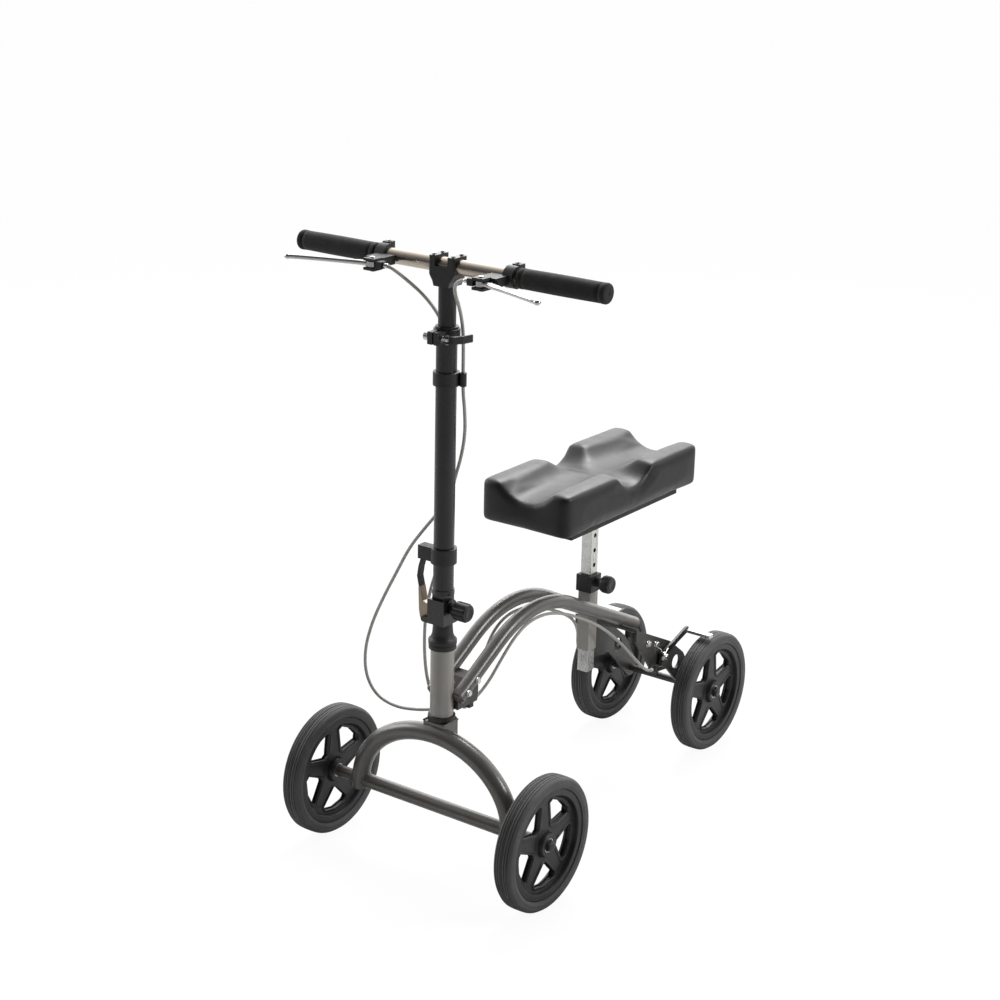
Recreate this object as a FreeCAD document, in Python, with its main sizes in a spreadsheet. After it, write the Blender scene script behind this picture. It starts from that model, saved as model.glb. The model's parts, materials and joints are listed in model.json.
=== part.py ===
"""Knee scooter: a parametric assembly of named pieces, in millimetres.

Frame: +Z is up, the scooter drives towards -Y, and +X is the rider's left. The origin is on the floor,
under the middle of the whole scooter. The driving sizes are cells of the sheet called dims.
"""
import FreeCAD, Part
import math
import os
import Sketcher

V = FreeCAD.Vector
doc = FreeCAD.newDocument("knee_scooter")
sheet = doc.addObject("Spreadsheet::Sheet", "dims")

SIZES = [
    # wheels and axles
    ("wheel_radius", 101.5), ("tyre_width", 31.0), ("rim_radius", 84.0), ("band_radius", 74.0),
    ("band_width", 25.0), ("web_width", 9.0), ("hub_radius", 19.0), ("hub_width", 24.0),
    ("axle_height", 101.5), ("front_axle_y", -313.0), ("rear_axle_y", 313.0),
    ("front_track", 395.0), ("rear_track", 200.0), ("axle_radius", 6.0), ("running_gap", 0.05),
    # steering head
    ("steer_y", -297.0), ("head_radius", 17.5), ("head_bore", 15.2), ("head_bottom", 243.0),
    ("head_top", 348.0), ("steerer_radius", 12.7), ("cup_radius", 20.5), ("bearing_radius", 17.0),
    # front arch
    ("arch_tube_radius", 14.0), ("arch_half_width", 140.0), ("arch_rise", 113.5), ("arch_foot", 13.0),
    ("beam_radius", 11.0),
    # twin frame tubes
    ("frame_tube_radius", 11.1), ("frame_tube_x", 22.3), ("frame_bend", 201.0), ("tube_wall", 1.8),
    # folding hinge and column
    ("hinge_height", 412.0), ("hinge_pin_radius", 4.0), ("tongue_half", 10.0), ("cheek_wall", 4.6),
    ("column_radius", 15.0), ("column_bore", 13.5), ("column_bottom", 440.0), ("column_top", 826.0),
    ("stem_radius", 12.7), ("stem_bottom", 650.0),
    # handlebar
    ("bar_height", 914.0), ("bar_radius", 11.1), ("bar_half", 262.0), ("grip_radius", 14.5),
    ("grip_start", 123.0), ("grip_end", 265.0),
    # knee rest
    ("post_y", 84.0), ("post_width", 19.0), ("post_bottom", 188.0), ("post_top", 461.0),
    ("sleeve_width", 22.4), ("sleeve_bottom", 225.0), ("sleeve_top", 350.0),
    ("pad_width", 166.0), ("pad_length", 380.0), ("pad_bottom", 472.4), ("pad_height", 72.6),
    ("pad_channel_depth", 27.0), ("pad_channel_radius", 60.0),
    # rear yoke and brakes
    ("yoke_half", 60.0), ("yoke_wall", 4.0), ("brake_pivot_y", 216.0), ("brake_pivot_z", 186.0),
    ("cable_radius", 2.5),
]


class Size:
    """A length that carries its sheet expression beside its number, so formulas stay live."""

    def __init__(self, text, number):
        self.text = text
        self.number = number

    def _with(self, other, sign, swap=False):
        other = other if isinstance(other, Size) else Size(repr(float(other)), float(other))
        left, right = (other, self) if swap else (self, other)
        numbers = {"+": left.number + right.number, "-": left.number - right.number,
                   "*": left.number * right.number}
        return Size("(%s %s %s)" % (left.text, sign, right.text), numbers[sign])

    def __add__(self, other):
        return self._with(other, "+")

    def __radd__(self, other):
        return self._with(other, "+", True)

    def __sub__(self, other):
        return self._with(other, "-")

    def __rsub__(self, other):
        return self._with(other, "-", True)

    def __mul__(self, other):
        return self._with(other, "*")

    def __rmul__(self, other):
        return self._with(other, "*", True)

    def __neg__(self):
        return self._with(-1.0, "*")


D = {}
for row, (alias, number) in enumerate(SIZES, start=1):
    sheet.set("A%d" % row, alias.replace("_", " "))
    sheet.set("B%d" % row, repr(number))
    sheet.setAlias("B%d" % row, alias)
    D[alias] = Size("dims." + alias, number)
doc.recompute()

nodes = []


# ---------------------------------------------------------------- helpers

def num(length):
    """The plain number of a length."""
    return length.number if isinstance(length, Size) else float(length)


def bind(obj, prop, length):
    """Set a property to a length, with its expression if it has one."""
    if isinstance(length, Size):
        obj.setExpression(prop, length.text)
    else:
        setattr(obj, prop, length)


def place(obj, x=0.0, y=0.0, z=0.0, turn=None):
    """Put an object at x, y, z, turned by a Rotation first."""
    base = V(num(x), num(y), num(z))
    obj.Placement = FreeCAD.Placement(base, turn or FreeCAD.Rotation())
    for letter, length in (("x", x), ("y", y), ("z", z)):
        if isinstance(length, Size):
            obj.setExpression("Placement.Base." + letter, length.text)
    return obj


ALONG = {"X": FreeCAD.Rotation(V(0, 1, 0), 90), "Y": FreeCAD.Rotation(V(1, 0, 0), -90),
         "Z": FreeCAD.Rotation()}


def node(obj, label):
    """Name a finished sub-part; its label is its file name."""
    obj.Label = label
    nodes.append(obj)
    return obj


def rod(axis, radius, start, end, across=(0.0, 0.0)):
    """A solid cylinder along X, Y or Z from start to end; across gives its other two coordinates."""
    obj = doc.addObject("Part::Cylinder", "rod")
    bind(obj, "Radius", radius)
    bind(obj, "Height", end - start)
    a, b = across
    spot = {"X": (start, a, b), "Y": (a, start, b), "Z": (a, b, start)}[axis]
    return place(obj, *spot, turn=ALONG[axis])


def block(x, y, z):
    """A box between three pairs of bounds."""
    obj = doc.addObject("Part::Box", "block")
    for prop, (low, high) in (("Length", x), ("Width", y), ("Height", z)):
        bind(obj, prop, high - low)
    return place(obj, x[0], y[0], z[0])


def fuse(*parts):
    """Join solids into one."""
    obj = doc.addObject("Part::MultiFuse", "joined")
    obj.Shapes = list(parts)
    obj.Refine = True
    return obj


def cut(base, *tools):
    """Cut tools out of a solid."""
    obj = doc.addObject("Part::Cut", "cut")
    obj.Base = base
    obj.Tool = tools[0] if len(tools) == 1 else fuse(*tools)
    return obj


def together(*parts):
    """Several separate solids in one node."""
    obj = doc.addObject("Part::Compound", "set_of_pieces")
    obj.Links = list(parts)
    return obj


def tube(axis, outer, inner, start, end, across=(0.0, 0.0)):
    """A round tube along X, Y or Z."""
    return cut(rod(axis, outer, start, end, across), rod(axis, inner, start - 1.0, end + 1.0, across))


def new_sketch(body, role, name):
    """A sketch on one of the body's own origin planes."""
    sketch = body.newObject("Sketcher::SketchObject", name)
    plane = [item for item in body.Origin.OriginFeatures if item.Role == role][0]
    sketch.AttachmentSupport = [(plane, "")]
    sketch.MapMode = "FlatFace"
    return sketch


def pin_down(sketch, index, corner, point):
    """Fix one corner of a sketch line at a point, with live dimensions."""
    for kind, length in (("DistanceX", point[0]), ("DistanceY", point[1])):
        row = sketch.addConstraint(Sketcher.Constraint(kind, -1, 1, index, corner, num(length)))
        if isinstance(length, Size):
            sketch.setExpression("Constraints[%d]" % row, length.text)


def outline(sketch, points):
    """A closed polygon whose corners are pinned by dimensions."""
    first = sketch.GeometryCount
    count = len(points)
    for i, point in enumerate(points):
        after = points[(i + 1) % count]
        ends = [V(num(p[0]), num(p[1]), 0) for p in (point, after)]
        sketch.addGeometry(Part.LineSegment(*ends))
    for i, point in enumerate(points):
        before = first + (i - 1) % count
        sketch.addConstraint(Sketcher.Constraint("Coincident", before, 2, first + i, 1))
        pin_down(sketch, first + i, 1, point)


def circle(sketch, x, y, radius):
    """A circle pinned at its centre, with a live radius."""
    index = sketch.addGeometry(Part.Circle(V(num(x), num(y), 0), V(0, 0, 1), num(radius)))
    pin_down(sketch, index, 3, (x, y))
    row = sketch.addConstraint(Sketcher.Constraint("Radius", index, num(radius)))
    if isinstance(radius, Size):
        sketch.setExpression("Constraints[%d]" % row, radius.text)


def turned(points, x=0.0, y=0.0, z=0.0, axis="Z"):
    """A piece turned on a lathe: outline points are (radius, distance along the axis)."""
    body = doc.addObject("PartDesign::Body", "turned")
    sketch = new_sketch(body, "XZ_Plane", "profile")
    outline(sketch, points)
    turn = body.newObject("PartDesign::Revolution", "turn")
    turn.Profile = sketch
    turn.ReferenceAxis = (sketch, ["V_Axis"])
    turn.Angle = 360
    body.Tip = turn
    return place(body, x, y, z, ALONG[axis])


def plate(role, points, thickness, x=0.0, y=0.0, z=0.0, holes=()):
    """A flat plate padded both ways from an origin plane; holes are (u, v, radius)."""
    body = doc.addObject("PartDesign::Body", "plate")
    sketch = new_sketch(body, role, "profile")
    outline(sketch, points)
    for hole in holes:
        circle(sketch, *hole)
    pad = body.newObject("PartDesign::Pad", "pad")
    pad.Profile = sketch
    bind(pad, "Length", thickness)
    pad.Midplane = True
    body.Tip = pad
    return place(body, x, y, z)


def soften(body, radius, pick):
    """Round the edges of a body's last feature for which pick(edge) is true."""
    doc.recompute()
    base = body.Tip
    names = ["Edge%d" % i for i, edge in enumerate(base.Shape.Edges, start=1) if pick(edge)]
    fillet = body.newObject("PartDesign::Fillet", "rounding")
    fillet.Base = (base, names)
    bind(fillet, "Radius", radius)
    body.Tip = fillet
    return body


def upright(edge, direction=V(0, 0, 1)):
    """True for a straight edge along a direction."""
    ends = [vertex.Point for vertex in edge.Vertexes]
    if len(ends) != 2 or edge.Curve.TypeId != "Part::GeomLine":
        return False
    run = ends[1].sub(ends[0])
    return run.Length > 0.1 and abs(run.normalize().dot(direction)) > 0.999


def rounded_path(points, bends=None):
    """Straight runs joined by tangent arcs; a bend's radius is 0.45 of its shorter run by default."""
    points = [V(*[num(value) for value in point]) for point in points]
    edges = []
    radii = []
    last = points[0]
    for i in range(1, len(points) - 1):
        before = points[i - 1].sub(points[i])
        after = points[i + 1].sub(points[i])
        shorter = min(before.Length, after.Length)
        before.normalize()
        after.normalize()
        half_turn = (math.pi - before.getAngle(after)) / 2
        radius = bends[i - 1] if bends else 0.45 * shorter / math.tan(half_turn)
        reach = radius * math.tan(half_turn)
        start = points[i] + before * reach
        end = points[i] + after * reach
        middle = (before + after).normalize() * (radius / math.cos(half_turn) - radius)
        edges.append(Part.LineSegment(last, start).toShape())
        edges.append(Part.Arc(start, points[i] + middle, end).toShape())
        radii.append(round(radius, 1))
        last = end
    edges.append(Part.LineSegment(last, points[-1]).toShape())
    return Part.Wire(edges), radii


def swept(wire, radius, bore=0.0):
    """A round bar or tube bent along a wire."""
    start = wire.OrderedVertexes[0].Point
    first = wire.OrderedEdges[0]
    run = first.tangentAt(first.FirstParameter)
    if first.valueAt(first.FirstParameter).distanceToPoint(start) > 0.01:
        run = -first.tangentAt(first.LastParameter)
    shapes = []
    for size in [num(radius)] + ([num(bore)] if num(bore) else []):
        ring = Part.Wire(Part.Circle(start, run, size).toShape())
        shapes.append(wire.makePipeShell([ring], True, False))
    return shapes[0].cut(shapes[1]) if num(bore) else shapes[0]


def shaped(shape):
    """A feature that holds a shape made in code."""
    obj = doc.addObject("Part::Feature", "shaped")
    obj.Shape = shape
    return obj


def mirrored(shape):
    """The same shape on the other side of the scooter."""
    return shape.mirror(V(0, 0, 0), V(1, 0, 0))


def cable(name, points, radius):
    """A solid cable along straight runs and tangent arcs, with its volume compared."""
    wire, radii = rounded_path(points)
    solid = swept(wire, radius)
    wanted = math.pi * num(radius) ** 2 * wire.Length
    print("%s: length %.0f mm, bend radii %s, volume / wanted %.4f"
          % (name, wire.Length, radii, solid.Volume / wanted))
    return solid


# ---------------------------------------------------------------- wheels

def wheel(place_name, x, y, bore):
    """A rubber tyre on a moulded five-spoke rim."""
    half_tyre = D["tyre_width"] * 0.5
    tread = D["wheel_radius"]
    seat = D["rim_radius"]
    points = [(seat, half_tyre - 2.5), (seat, 2.5 - half_tyre), (seat + 6, -half_tyre),
              (tread - 5, -half_tyre), (tread - 1.2, 4.5 - half_tyre), (tread, 10 - half_tyre),
              (tread, half_tyre - 10), (tread - 1.2, half_tyre - 4.5), (tread - 5, half_tyre),
              (seat + 6, half_tyre)]
    node(turned(points, x, y, D["axle_height"], "X"), "tyre_" + place_name)

    hub = D["hub_width"] * 0.5
    web = D["web_width"] * 0.5
    band = D["band_width"] * 0.5
    half = [(bore, hub), (D["hub_radius"] - 1, hub), (D["hub_radius"] + 1, web),
            (D["band_radius"] - 2, web), (D["band_radius"], band), (seat, band)]
    points = half + [(radius, -along) for radius, along in reversed(half)]
    rim = turned(points, x, y, D["axle_height"], "X")
    window = new_sketch(rim, "XY_Plane", "window")
    inner = D["hub_radius"] + 9
    outer = D["band_radius"] - 5
    outline(window, [(inner, inner * -0.16), (outer * 0.80, outer * -0.43), (outer * 0.93, outer * -0.36),
                     (outer, 0.0), (outer * 0.93, outer * 0.36), (outer * 0.80, outer * 0.43),
                     (inner, inner * 0.16)])
    doc.recompute()
    opening = rim.newObject("PartDesign::Pocket", "opening")
    opening.Profile = window
    opening.Length = 60
    opening.Midplane = True
    spokes = rim.newObject("PartDesign::PolarPattern", "five_openings")
    spokes.Originals = [opening]
    spokes.Axis = (window, ["N_Axis"])
    spokes.Angle = 360
    spokes.Occurrences = 5
    rim.Tip = spokes
    node(rim, "rim_" + place_name)


front_x = D["front_track"] * 0.5
rear_x = D["rear_track"] * 0.5
bore = D["axle_radius"] + D["running_gap"]
wheel("front_left", front_x, D["front_axle_y"], bore)
wheel("front_right", -front_x, D["front_axle_y"], bore)
wheel("rear_left", rear_x, D["rear_axle_y"], bore)
wheel("rear_right", -rear_x, D["rear_axle_y"], bore)


# ---------------------------------------------------------------- front arch, beam and steerer

STEER = (0.0, D["steer_y"])
front_axle = (D["front_axle_y"], D["axle_height"])


def front_arch():
    """One tube bent into half an ellipse, with short straight feet over the axle beam."""
    half = num(D["arch_half_width"])
    rise = num(D["arch_rise"])
    axle = num(D["axle_height"])
    y = num(D["front_axle_y"])
    foot = axle - num(D["arch_foot"])
    long_axis = V(half, 0, 0)
    curve = Part.Ellipse(V(half, y, axle), V(0, y, axle + rise), V(0, y, axle))
    arc = Part.ArcOfEllipse(curve, 0.0, math.pi).toShape()
    if arc.CenterOfMass.z < axle:
        arc = Part.ArcOfEllipse(curve, math.pi, 2 * math.pi).toShape()
    legs = [Part.LineSegment(V(side * half, y, foot), V(side * half, y, axle)).toShape()
            for side in (1, -1)]
    wire = Part.Wire(Part.__sortEdges__([legs[0], arc, legs[1]]))
    radius = num(D["arch_tube_radius"])
    return swept(wire, radius, radius - num(D["tube_wall"])), swept(wire, radius)


arch_tube, arch_solid = front_arch()
beam_hole = rod("X", D["beam_radius"], -170.0, 170.0, front_axle)
crown_gap = rod("Z", D["steerer_radius"], 190.0, 240.0, STEER)
node(cut(shaped(arch_tube), beam_hole, crown_gap), "front_arch")

half_beam = [(D["beam_radius"], 154.5), (D["beam_radius"] - 2, 156.0), (D["beam_radius"] - 2, 185.0),
             (D["axle_radius"], 185.2), (D["axle_radius"], 216.0)]
beam = [(0.0, 216.0)] + [(radius, along) for radius, along in reversed(half_beam)]
beam = beam + [(radius, -along) for radius, along in half_beam] + [(0.0, -216.0)]
node(turned(beam, 0.0, *front_axle, axis="X"), "axle_beam")

nut_start = D["front_track"] * 0.5 + D["hub_width"] * 0.5 + 0.3


def nuts(start, across):
    """A lock nut on each end of an axle."""
    pair = []
    for side in (1, -1):
        begin = start if side == 1 else -(start + 7.0)
        pair.append(tube("X", 9.0, D["axle_radius"], begin, begin + 7.0, across))
    return together(*pair)


node(nuts(nut_start, front_axle), "front_axle_nuts")

crown_blank = plate("XY_Plane", [(-19, -316), (19, -316), (19, -282), (11, -275.5), (-11, -275.5), (-19, -282)],
                    31.0, z=218.5)
node(cut(crown_blank, shaped(arch_solid), rod("Z", D["steerer_radius"], 190.0, 240.0, STEER)), "fork_crown")

node(tube("Z", D["steerer_radius"], D["steerer_radius"] - 2, 203.0, 388.0, STEER), "steerer")


# ---------------------------------------------------------------- head tube and headset

node(tube("Z", D["head_radius"], D["head_bore"], D["head_bottom"], D["head_top"], STEER), "head_tube")


def cup(seat, away):
    """A pressed headset cup: away is +1 for the upper one."""
    lip = D["cup_radius"]
    points = [(D["bearing_radius"] + D["running_gap"], 0.0), (D["bearing_radius"] + D["running_gap"], 7.4 * away),
              (lip, 7.4 * away), (lip, 0.0)]
    return turned(points, 0.0, D["steer_y"], seat)


upper_seat = D["head_top"]
lower_seat = D["head_bottom"]
node(together(cup(upper_seat, 1), cup(lower_seat, -1)), "headset_cups")
node(together(tube("Z", D["bearing_radius"], D["steerer_radius"], upper_seat + 0.3, upper_seat + 7.0, STEER),
              tube("Z", D["bearing_radius"], D["steerer_radius"], lower_seat - 7.0, lower_seat - 0.3, STEER)),
     "headset_bearings")

cap = [(D["steerer_radius"], 355.9), (21.0, 355.9), (21.0, 362.0), (18.0, 364.5), (15.5, 371.0),
       (14.2, 387.9), (D["steerer_radius"], 387.9)]
node(turned(cap, 0.0, D["steer_y"], 0.0), "headset_cap")


# ---------------------------------------------------------------- folding hinge

pin_at = (D["steer_y"], D["hinge_height"])
cheek_out = D["tongue_half"] + 0.4 + D["cheek_wall"]


def hinge_base():
    """The lower half of the fold: a floor, two round-topped cheeks and a front stop wall."""
    y = D["steer_y"]
    floor = block((-cheek_out, cheek_out), (y - 14.0, y + 14.0), (388.0, 394.0))
    parts = [floor, block((-cheek_out, cheek_out), (y - 18.0, y - 13.6), (388.0, 426.0))]
    for side in (1, -1):
        inner = D["tongue_half"] + 0.4
        span = (inner, cheek_out) if side == 1 else (-cheek_out, -inner)
        parts.append(block(span, (y - 14.0, y + 14.0), (394.0, D["hinge_height"])))
        parts.append(rod("X", 14.0, span[0], span[1], pin_at))
    for low in (LATCH_Y - 10.5, LATCH_Y + 7.0):
        parts.append(block((LATCH_PIVOT[0], -14.0), (low, low + 3.5), (385.5, LATCH_PIVOT[1] + 4.5)))
        parts.append(rod("Y", 4.5, low, low + 3.5, LATCH_PIVOT))
    shell = cut(fuse(*parts), rod("X", D["hinge_pin_radius"] + D["running_gap"], -18.0, 30.0, pin_at))
    return fuse(shell, rod("Y", 3.0, LATCH_Y - 10.0, LATCH_Y + 10.0, LATCH_PIVOT))


LATCH_Y = -300.0
LATCH_PIVOT = (-26.0, 390.0)
node(hinge_base(), "hinge_base")


def hinge_tongue():
    """The upper half of the fold: a tongue round the pin under a round flange for the column."""
    y = D["steer_y"]
    half = D["tongue_half"]
    parts = [rod("X", 13.0, -half, half, pin_at),
             block((-half, half), (y - 13.0, y + 13.0), (D["hinge_height"], 437.0)),
             rod("Z", 16.5, 433.0, D["column_bottom"], STEER)]
    return cut(fuse(*parts), rod("X", D["hinge_pin_radius"], -30.0, 30.0, pin_at))


node(hinge_tongue(), "hinge_tongue")
node(fuse(rod("X", D["hinge_pin_radius"], -18.0, 42.0, pin_at), rod("X", 7.0, -18.6, -15.4, pin_at)), "hinge_pin")


def knob(start, end, across, spindle, lobes):
    """A moulded clamp knob with finger lobes round its rim, its collar towards the scooter."""
    body = turned([(spindle, 0.0), (8.0, 0.0), (8.5, 5.0), (13.0, 8.0), (14.2, 11.0), (14.2, end - start - 3.0),
                   (12.0, end - start), (spindle, end - start)], start, across[0], across[1], "X")
    sketch = new_sketch(body, "XY_Plane", "finger_scallop")
    circle(sketch, 17.4, 0.0, 5.0)
    doc.recompute()
    scallop = body.newObject("PartDesign::Pocket", "scallop")
    scallop.Profile = sketch
    scallop.Length = 100
    scallop.Midplane = True
    ring = body.newObject("PartDesign::PolarPattern", "scallops")
    ring.Originals = [scallop]
    ring.Axis = (sketch, ["N_Axis"])
    ring.Angle = 360
    ring.Occurrences = lobes
    body.Tip = ring
    return body


node(knob(16.0, 47.0, pin_at, D["hinge_pin_radius"] + D["running_gap"], 8), "fold_knob")


# ---------------------------------------------------------------- fold latch

lever_sheet = [(-18.9, 390.0), (-19.7, 386.5), (-22.4, 383.7), (-26.0, 382.7), (-31.0, 384.0), (-35.0, 390.0),
               (-37.0, 400.0), (-38.5, 436.0), (-35.0, 437.0), (-30.5, 416.0), (-19.0, 413.0)]
hook_strip = [(-35.0, 437.0), (-38.5, 436.0), (-42.0, 452.0), (-39.5, 468.0), (-35.8, 479.2), (-32.6, 478.2),
              (-36.2, 466.0), (-38.4, 452.0)]
latch_pin_hole = rod("Y", 3.05, -312.0, -288.0, LATCH_PIVOT)
latch_cam = plate("XZ_Plane", lever_sheet, 13.0, y=LATCH_Y)
node(cut(latch_cam, latch_pin_hole), "latch_lever")
node(plate("XZ_Plane", hook_strip, 11.0, y=LATCH_Y), "latch_hook")

catch_ring = tube("Z", 19.0, D["column_radius"], 480.0, 503.0, STEER)
catch_nose = cut(block((-39.0, -12.0), (-308.0, -292.0), (480.4, 501.0)), rod("Z", 19.0, 470.0, 510.0, STEER))
node(fuse(catch_ring, catch_nose), "latch_catch")


# ---------------------------------------------------------------- column, guide ring and clamp

node(tube("Z", D["column_radius"], D["column_bore"], D["column_bottom"], D["column_top"], STEER), "column_tube")

bushing = [(D["stem_radius"] + D["running_gap"], 796.0), (D["column_bore"], 796.0), (D["column_bore"], D["column_top"]),
           (D["column_radius"] + 1.5, D["column_top"]), (D["column_radius"] + 1.5, D["column_top"] + 3.0),
           (D["stem_radius"] + D["running_gap"], D["column_top"] + 3.0)]
node(turned(bushing, 0.0, D["steer_y"], 0.0), "column_bushing")

cable_a = (-13.0, -271.5)
cable_b = (22.5, -288.0)


def guide_ring():
    """A collar low on the column's top half, with an eye for each cable."""
    ring = rod("Z", 19.0, 744.0, 764.0, STEER)
    eyes = [rod("Z", 5.2, 744.0, 764.0, spot) for spot in (cable_a, cable_b)]
    holes = [rod("Z", D["cable_radius"] + 0.1, 740.0, 770.0, spot) for spot in (cable_a, cable_b)]
    return cut(fuse(ring, *eyes), rod("Z", D["column_radius"], 740.0, 770.0, STEER), *holes)


node(guide_ring(), "guide_ring")

clamp_y = -321.0
clamp_z = 816.0


def column_clamp():
    """A split collar with two ears in front, drawn together by a skewer."""
    ring = rod("Z", 19.0, 806.0, D["column_top"], STEER)
    ears = block((-10.0, 10.0), (-329.0, -312.0), (807.0, 825.0))
    slit = block((-1.2, 1.2), (-335.0, -300.0), (800.0, 830.0))
    bolt = rod("X", 3.0, -20.0, 20.0, (clamp_y, clamp_z))
    return cut(fuse(ring, ears), rod("Z", D["column_radius"], 800.0, 830.0, STEER), slit, bolt)


node(column_clamp(), "column_clamp")
lever_at = (19.0, clamp_y)
skewer = fuse(rod("X", 3.0, -21.0, 14.0, (clamp_y, clamp_z)), rod("X", 6.0, -19.0, -10.2, (clamp_y, clamp_z)),
              rod("X", 5.0, 10.2, 14.0, (clamp_y, clamp_z)), rod("Z", 4.0, clamp_z - 2.0, clamp_z + 2.0, lever_at),
              block((13.0, 19.0), (clamp_y - 3.0, clamp_y + 3.0), (clamp_z - 2.0, clamp_z + 2.0)),
              rod("Z", 2.4, clamp_z - 6.5, clamp_z + 6.5, lever_at))
node(skewer, "clamp_skewer")
lever_plan = [(14.4, -321.0), (15.4, -324.0), (19.0, -325.7), (22.6, -324.8), (29.0, -322.0), (36.5, -308.0),
              (40.5, -290.0), (37.0, -287.5), (33.5, -304.0), (27.0, -313.0), (21.0, -316.3), (15.6, -317.6)]
clamp_lever = plate("XY_Plane", lever_plan, 11.0, z=clamp_z)
fork_slot = block((10.0, 24.0), (clamp_y - 9.0, clamp_y + 8.0), (clamp_z - 2.3, clamp_z + 2.3))
node(cut(clamp_lever, rod("Z", 2.45, 805.0, 827.0, lever_at), fork_slot), "clamp_lever")


# ---------------------------------------------------------------- stem, handlebar and grips

bar_at = (D["steer_y"], D["bar_height"])
node(tube("Z", D["stem_radius"], D["stem_radius"] - 2, D["stem_bottom"], 893.0, STEER), "stem_tube")


def bar_clamp():
    """A cast cradle that flares from the stem and straps the bar in two places."""
    points = [(-12.7, 886.0), (12.7, 886.0), (15.0, 893.0), (22.0, 904.0), (22.0, 928.5), (11.0, 928.5), (11.0, 914.0),
              (-11.0, 914.0), (-11.0, 928.5), (-22.0, 928.5), (-22.0, 904.0), (-15.0, 893.0)]
    body = plate("XZ_Plane", points, 31.0, y=D["steer_y"])
    soften(body, 3.0, lambda edge: upright(edge, V(0, 0, 1)) and abs(edge.Vertexes[0].Point.x) > 20)
    return cut(body, rod("X", D["bar_radius"], -40.0, 40.0, bar_at), rod("Z", D["stem_radius"], 880.0, 893.0, STEER))


node(bar_clamp(), "bar_clamp")
node(tube("X", D["bar_radius"], D["bar_radius"] - 2, -D["bar_half"], D["bar_half"], bar_at), "handlebar")


def grip(side):
    """A foam sleeve with a rounded closed end."""
    start, end = D["grip_start"], D["grip_end"]
    radius = D["grip_radius"]
    points = [(D["bar_radius"], start), (radius - 1.0, start), (radius, start + 2.0), (radius, end - 3.0),
              (radius - 3.0, end), (0.0, end), (0.0, D["bar_half"] + 0.2), (D["bar_radius"], D["bar_half"] + 0.2)]
    return turned([(r, along * side) for r, along in points], 0.0, *bar_at, axis="X")


node(together(grip(1), grip(-1)), "grips")

pivot = (93.5, -346.0)


def lever_bracket(side):
    """A bar clamp with a forked arm that carries the lever's pivot pin."""
    z = D["bar_height"]

    def span(a, b):
        return (a, b) if side == 1 else (-b, -a)
    ring = rod("X", 15.6, *span(103.0, 119.0), bar_at)
    nub = block(span(106.0, 119.0), (-293.0, -281.0), (z + 8.0, z + 17.0))
    arm = block(span(84.0, 112.0), (-338.0, -308.0), (z - 9.0, z + 4.0))
    ears = block(span(84.0, 103.0), (-354.5, -336.0), (z - 12.0, z + 5.0))
    barrel = rod("X", 4.5, *span(72.0, 83.4), (-346.0, z - 3.0))
    slot = block(span(83.0, 120.0), (-356.0, -334.0), (z - 8.2, z + 1.2))
    keep = block(span(74.0, 83.5), (-352.0, -340.0), (z - 8.0, z + 2.0))
    body = fuse(ring, nub, arm, ears)
    pin = rod("Z", 2.5, z - 12.0, z + 5.0, (side * pivot[0], pivot[1]))
    return fuse(cut(body, rod("X", D["bar_radius"], *span(100.0, 122.0), bar_at), slot), pin, keep, barrel)


node(together(lever_bracket(1), lever_bracket(-1)), "lever_brackets")


def brake_lever(side):
    """A flat cast blade: a boss round the pivot, a bend, and a long finger rest with a round tip."""
    z = D["bar_height"] - 3.5
    blade = [(86.5, -340.0), (88.0, -351.0), (96.0, -353.0), (126.0, -361.5), (160.0, -374.0), (196.0, -386.0),
             (214.0, -390.5), (219.0, -387.0), (216.0, -382.5), (198.0, -377.0), (162.0, -365.5),
             (130.0, -352.5), (106.0, -342.5), (97.0, -338.0), (90.0, -337.0)]
    points = [(x * side, y) for x, y in blade]
    body = plate("XY_Plane", points, 8.4, z=z)
    return cut(body, rod("Z", 2.55, z - 10.0, z + 10.0, (side * pivot[0], pivot[1])))


node(brake_lever(1), "brake_lever_left")
node(brake_lever(-1), "brake_lever_right")


# ---------------------------------------------------------------- frame tubes, sleeve and yoke

FRONT_SLOPE = math.radians(30.4)
REAR_SLOPE = math.radians(25.9)
CORNER = (-98.6, 381.3)
REAR_END = 190.0
FRONT_END = -287.0


def slope_height(y):
    """Height of the tubes' centre line, on its two straight runs."""
    slope = FRONT_SLOPE if y < CORNER[0] else -REAR_SLOPE
    return CORNER[1] + (y - CORNER[0]) * math.tan(slope)


def frame_tube(radius, bore):
    """The left tube of the pair: two straight runs and one wide bend."""
    x = num(D["frame_tube_x"])
    points = [(x, y, slope_height(y)) for y in (FRONT_END, CORNER[0], REAR_END)]
    wire, radii = rounded_path(points, [num(D["frame_bend"])])
    return swept(wire, radius, bore)


solid_left = frame_tube(D["frame_tube_radius"], 0.0)
hollow_left = frame_tube(D["frame_tube_radius"], D["frame_tube_radius"] - D["tube_wall"])
head_space = rod("Z", D["head_radius"], 230.0, 360.0, STEER)
tube_pair = shaped(Part.makeCompound([hollow_left, mirrored(hollow_left)]))
node(cut(tube_pair, head_space), "frame_tubes")

gusset_side = [(-286.0, 250.0), (-238.0, 250.0), (-236.0, 262.0), (-236.0, 292.0), (-262.0, 292.0), (-286.0, 274.0)]
gusset = plate("YZ_Plane", gusset_side, 43.0)
node(cut(gusset, rod("Z", D["cup_radius"], 240.0, 250.5, STEER), rod("Z", D["head_radius"], 240.0, 310.0, STEER),
         shaped(Part.makeCompound([solid_left, mirrored(solid_left)]))), "head_gusset")


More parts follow.
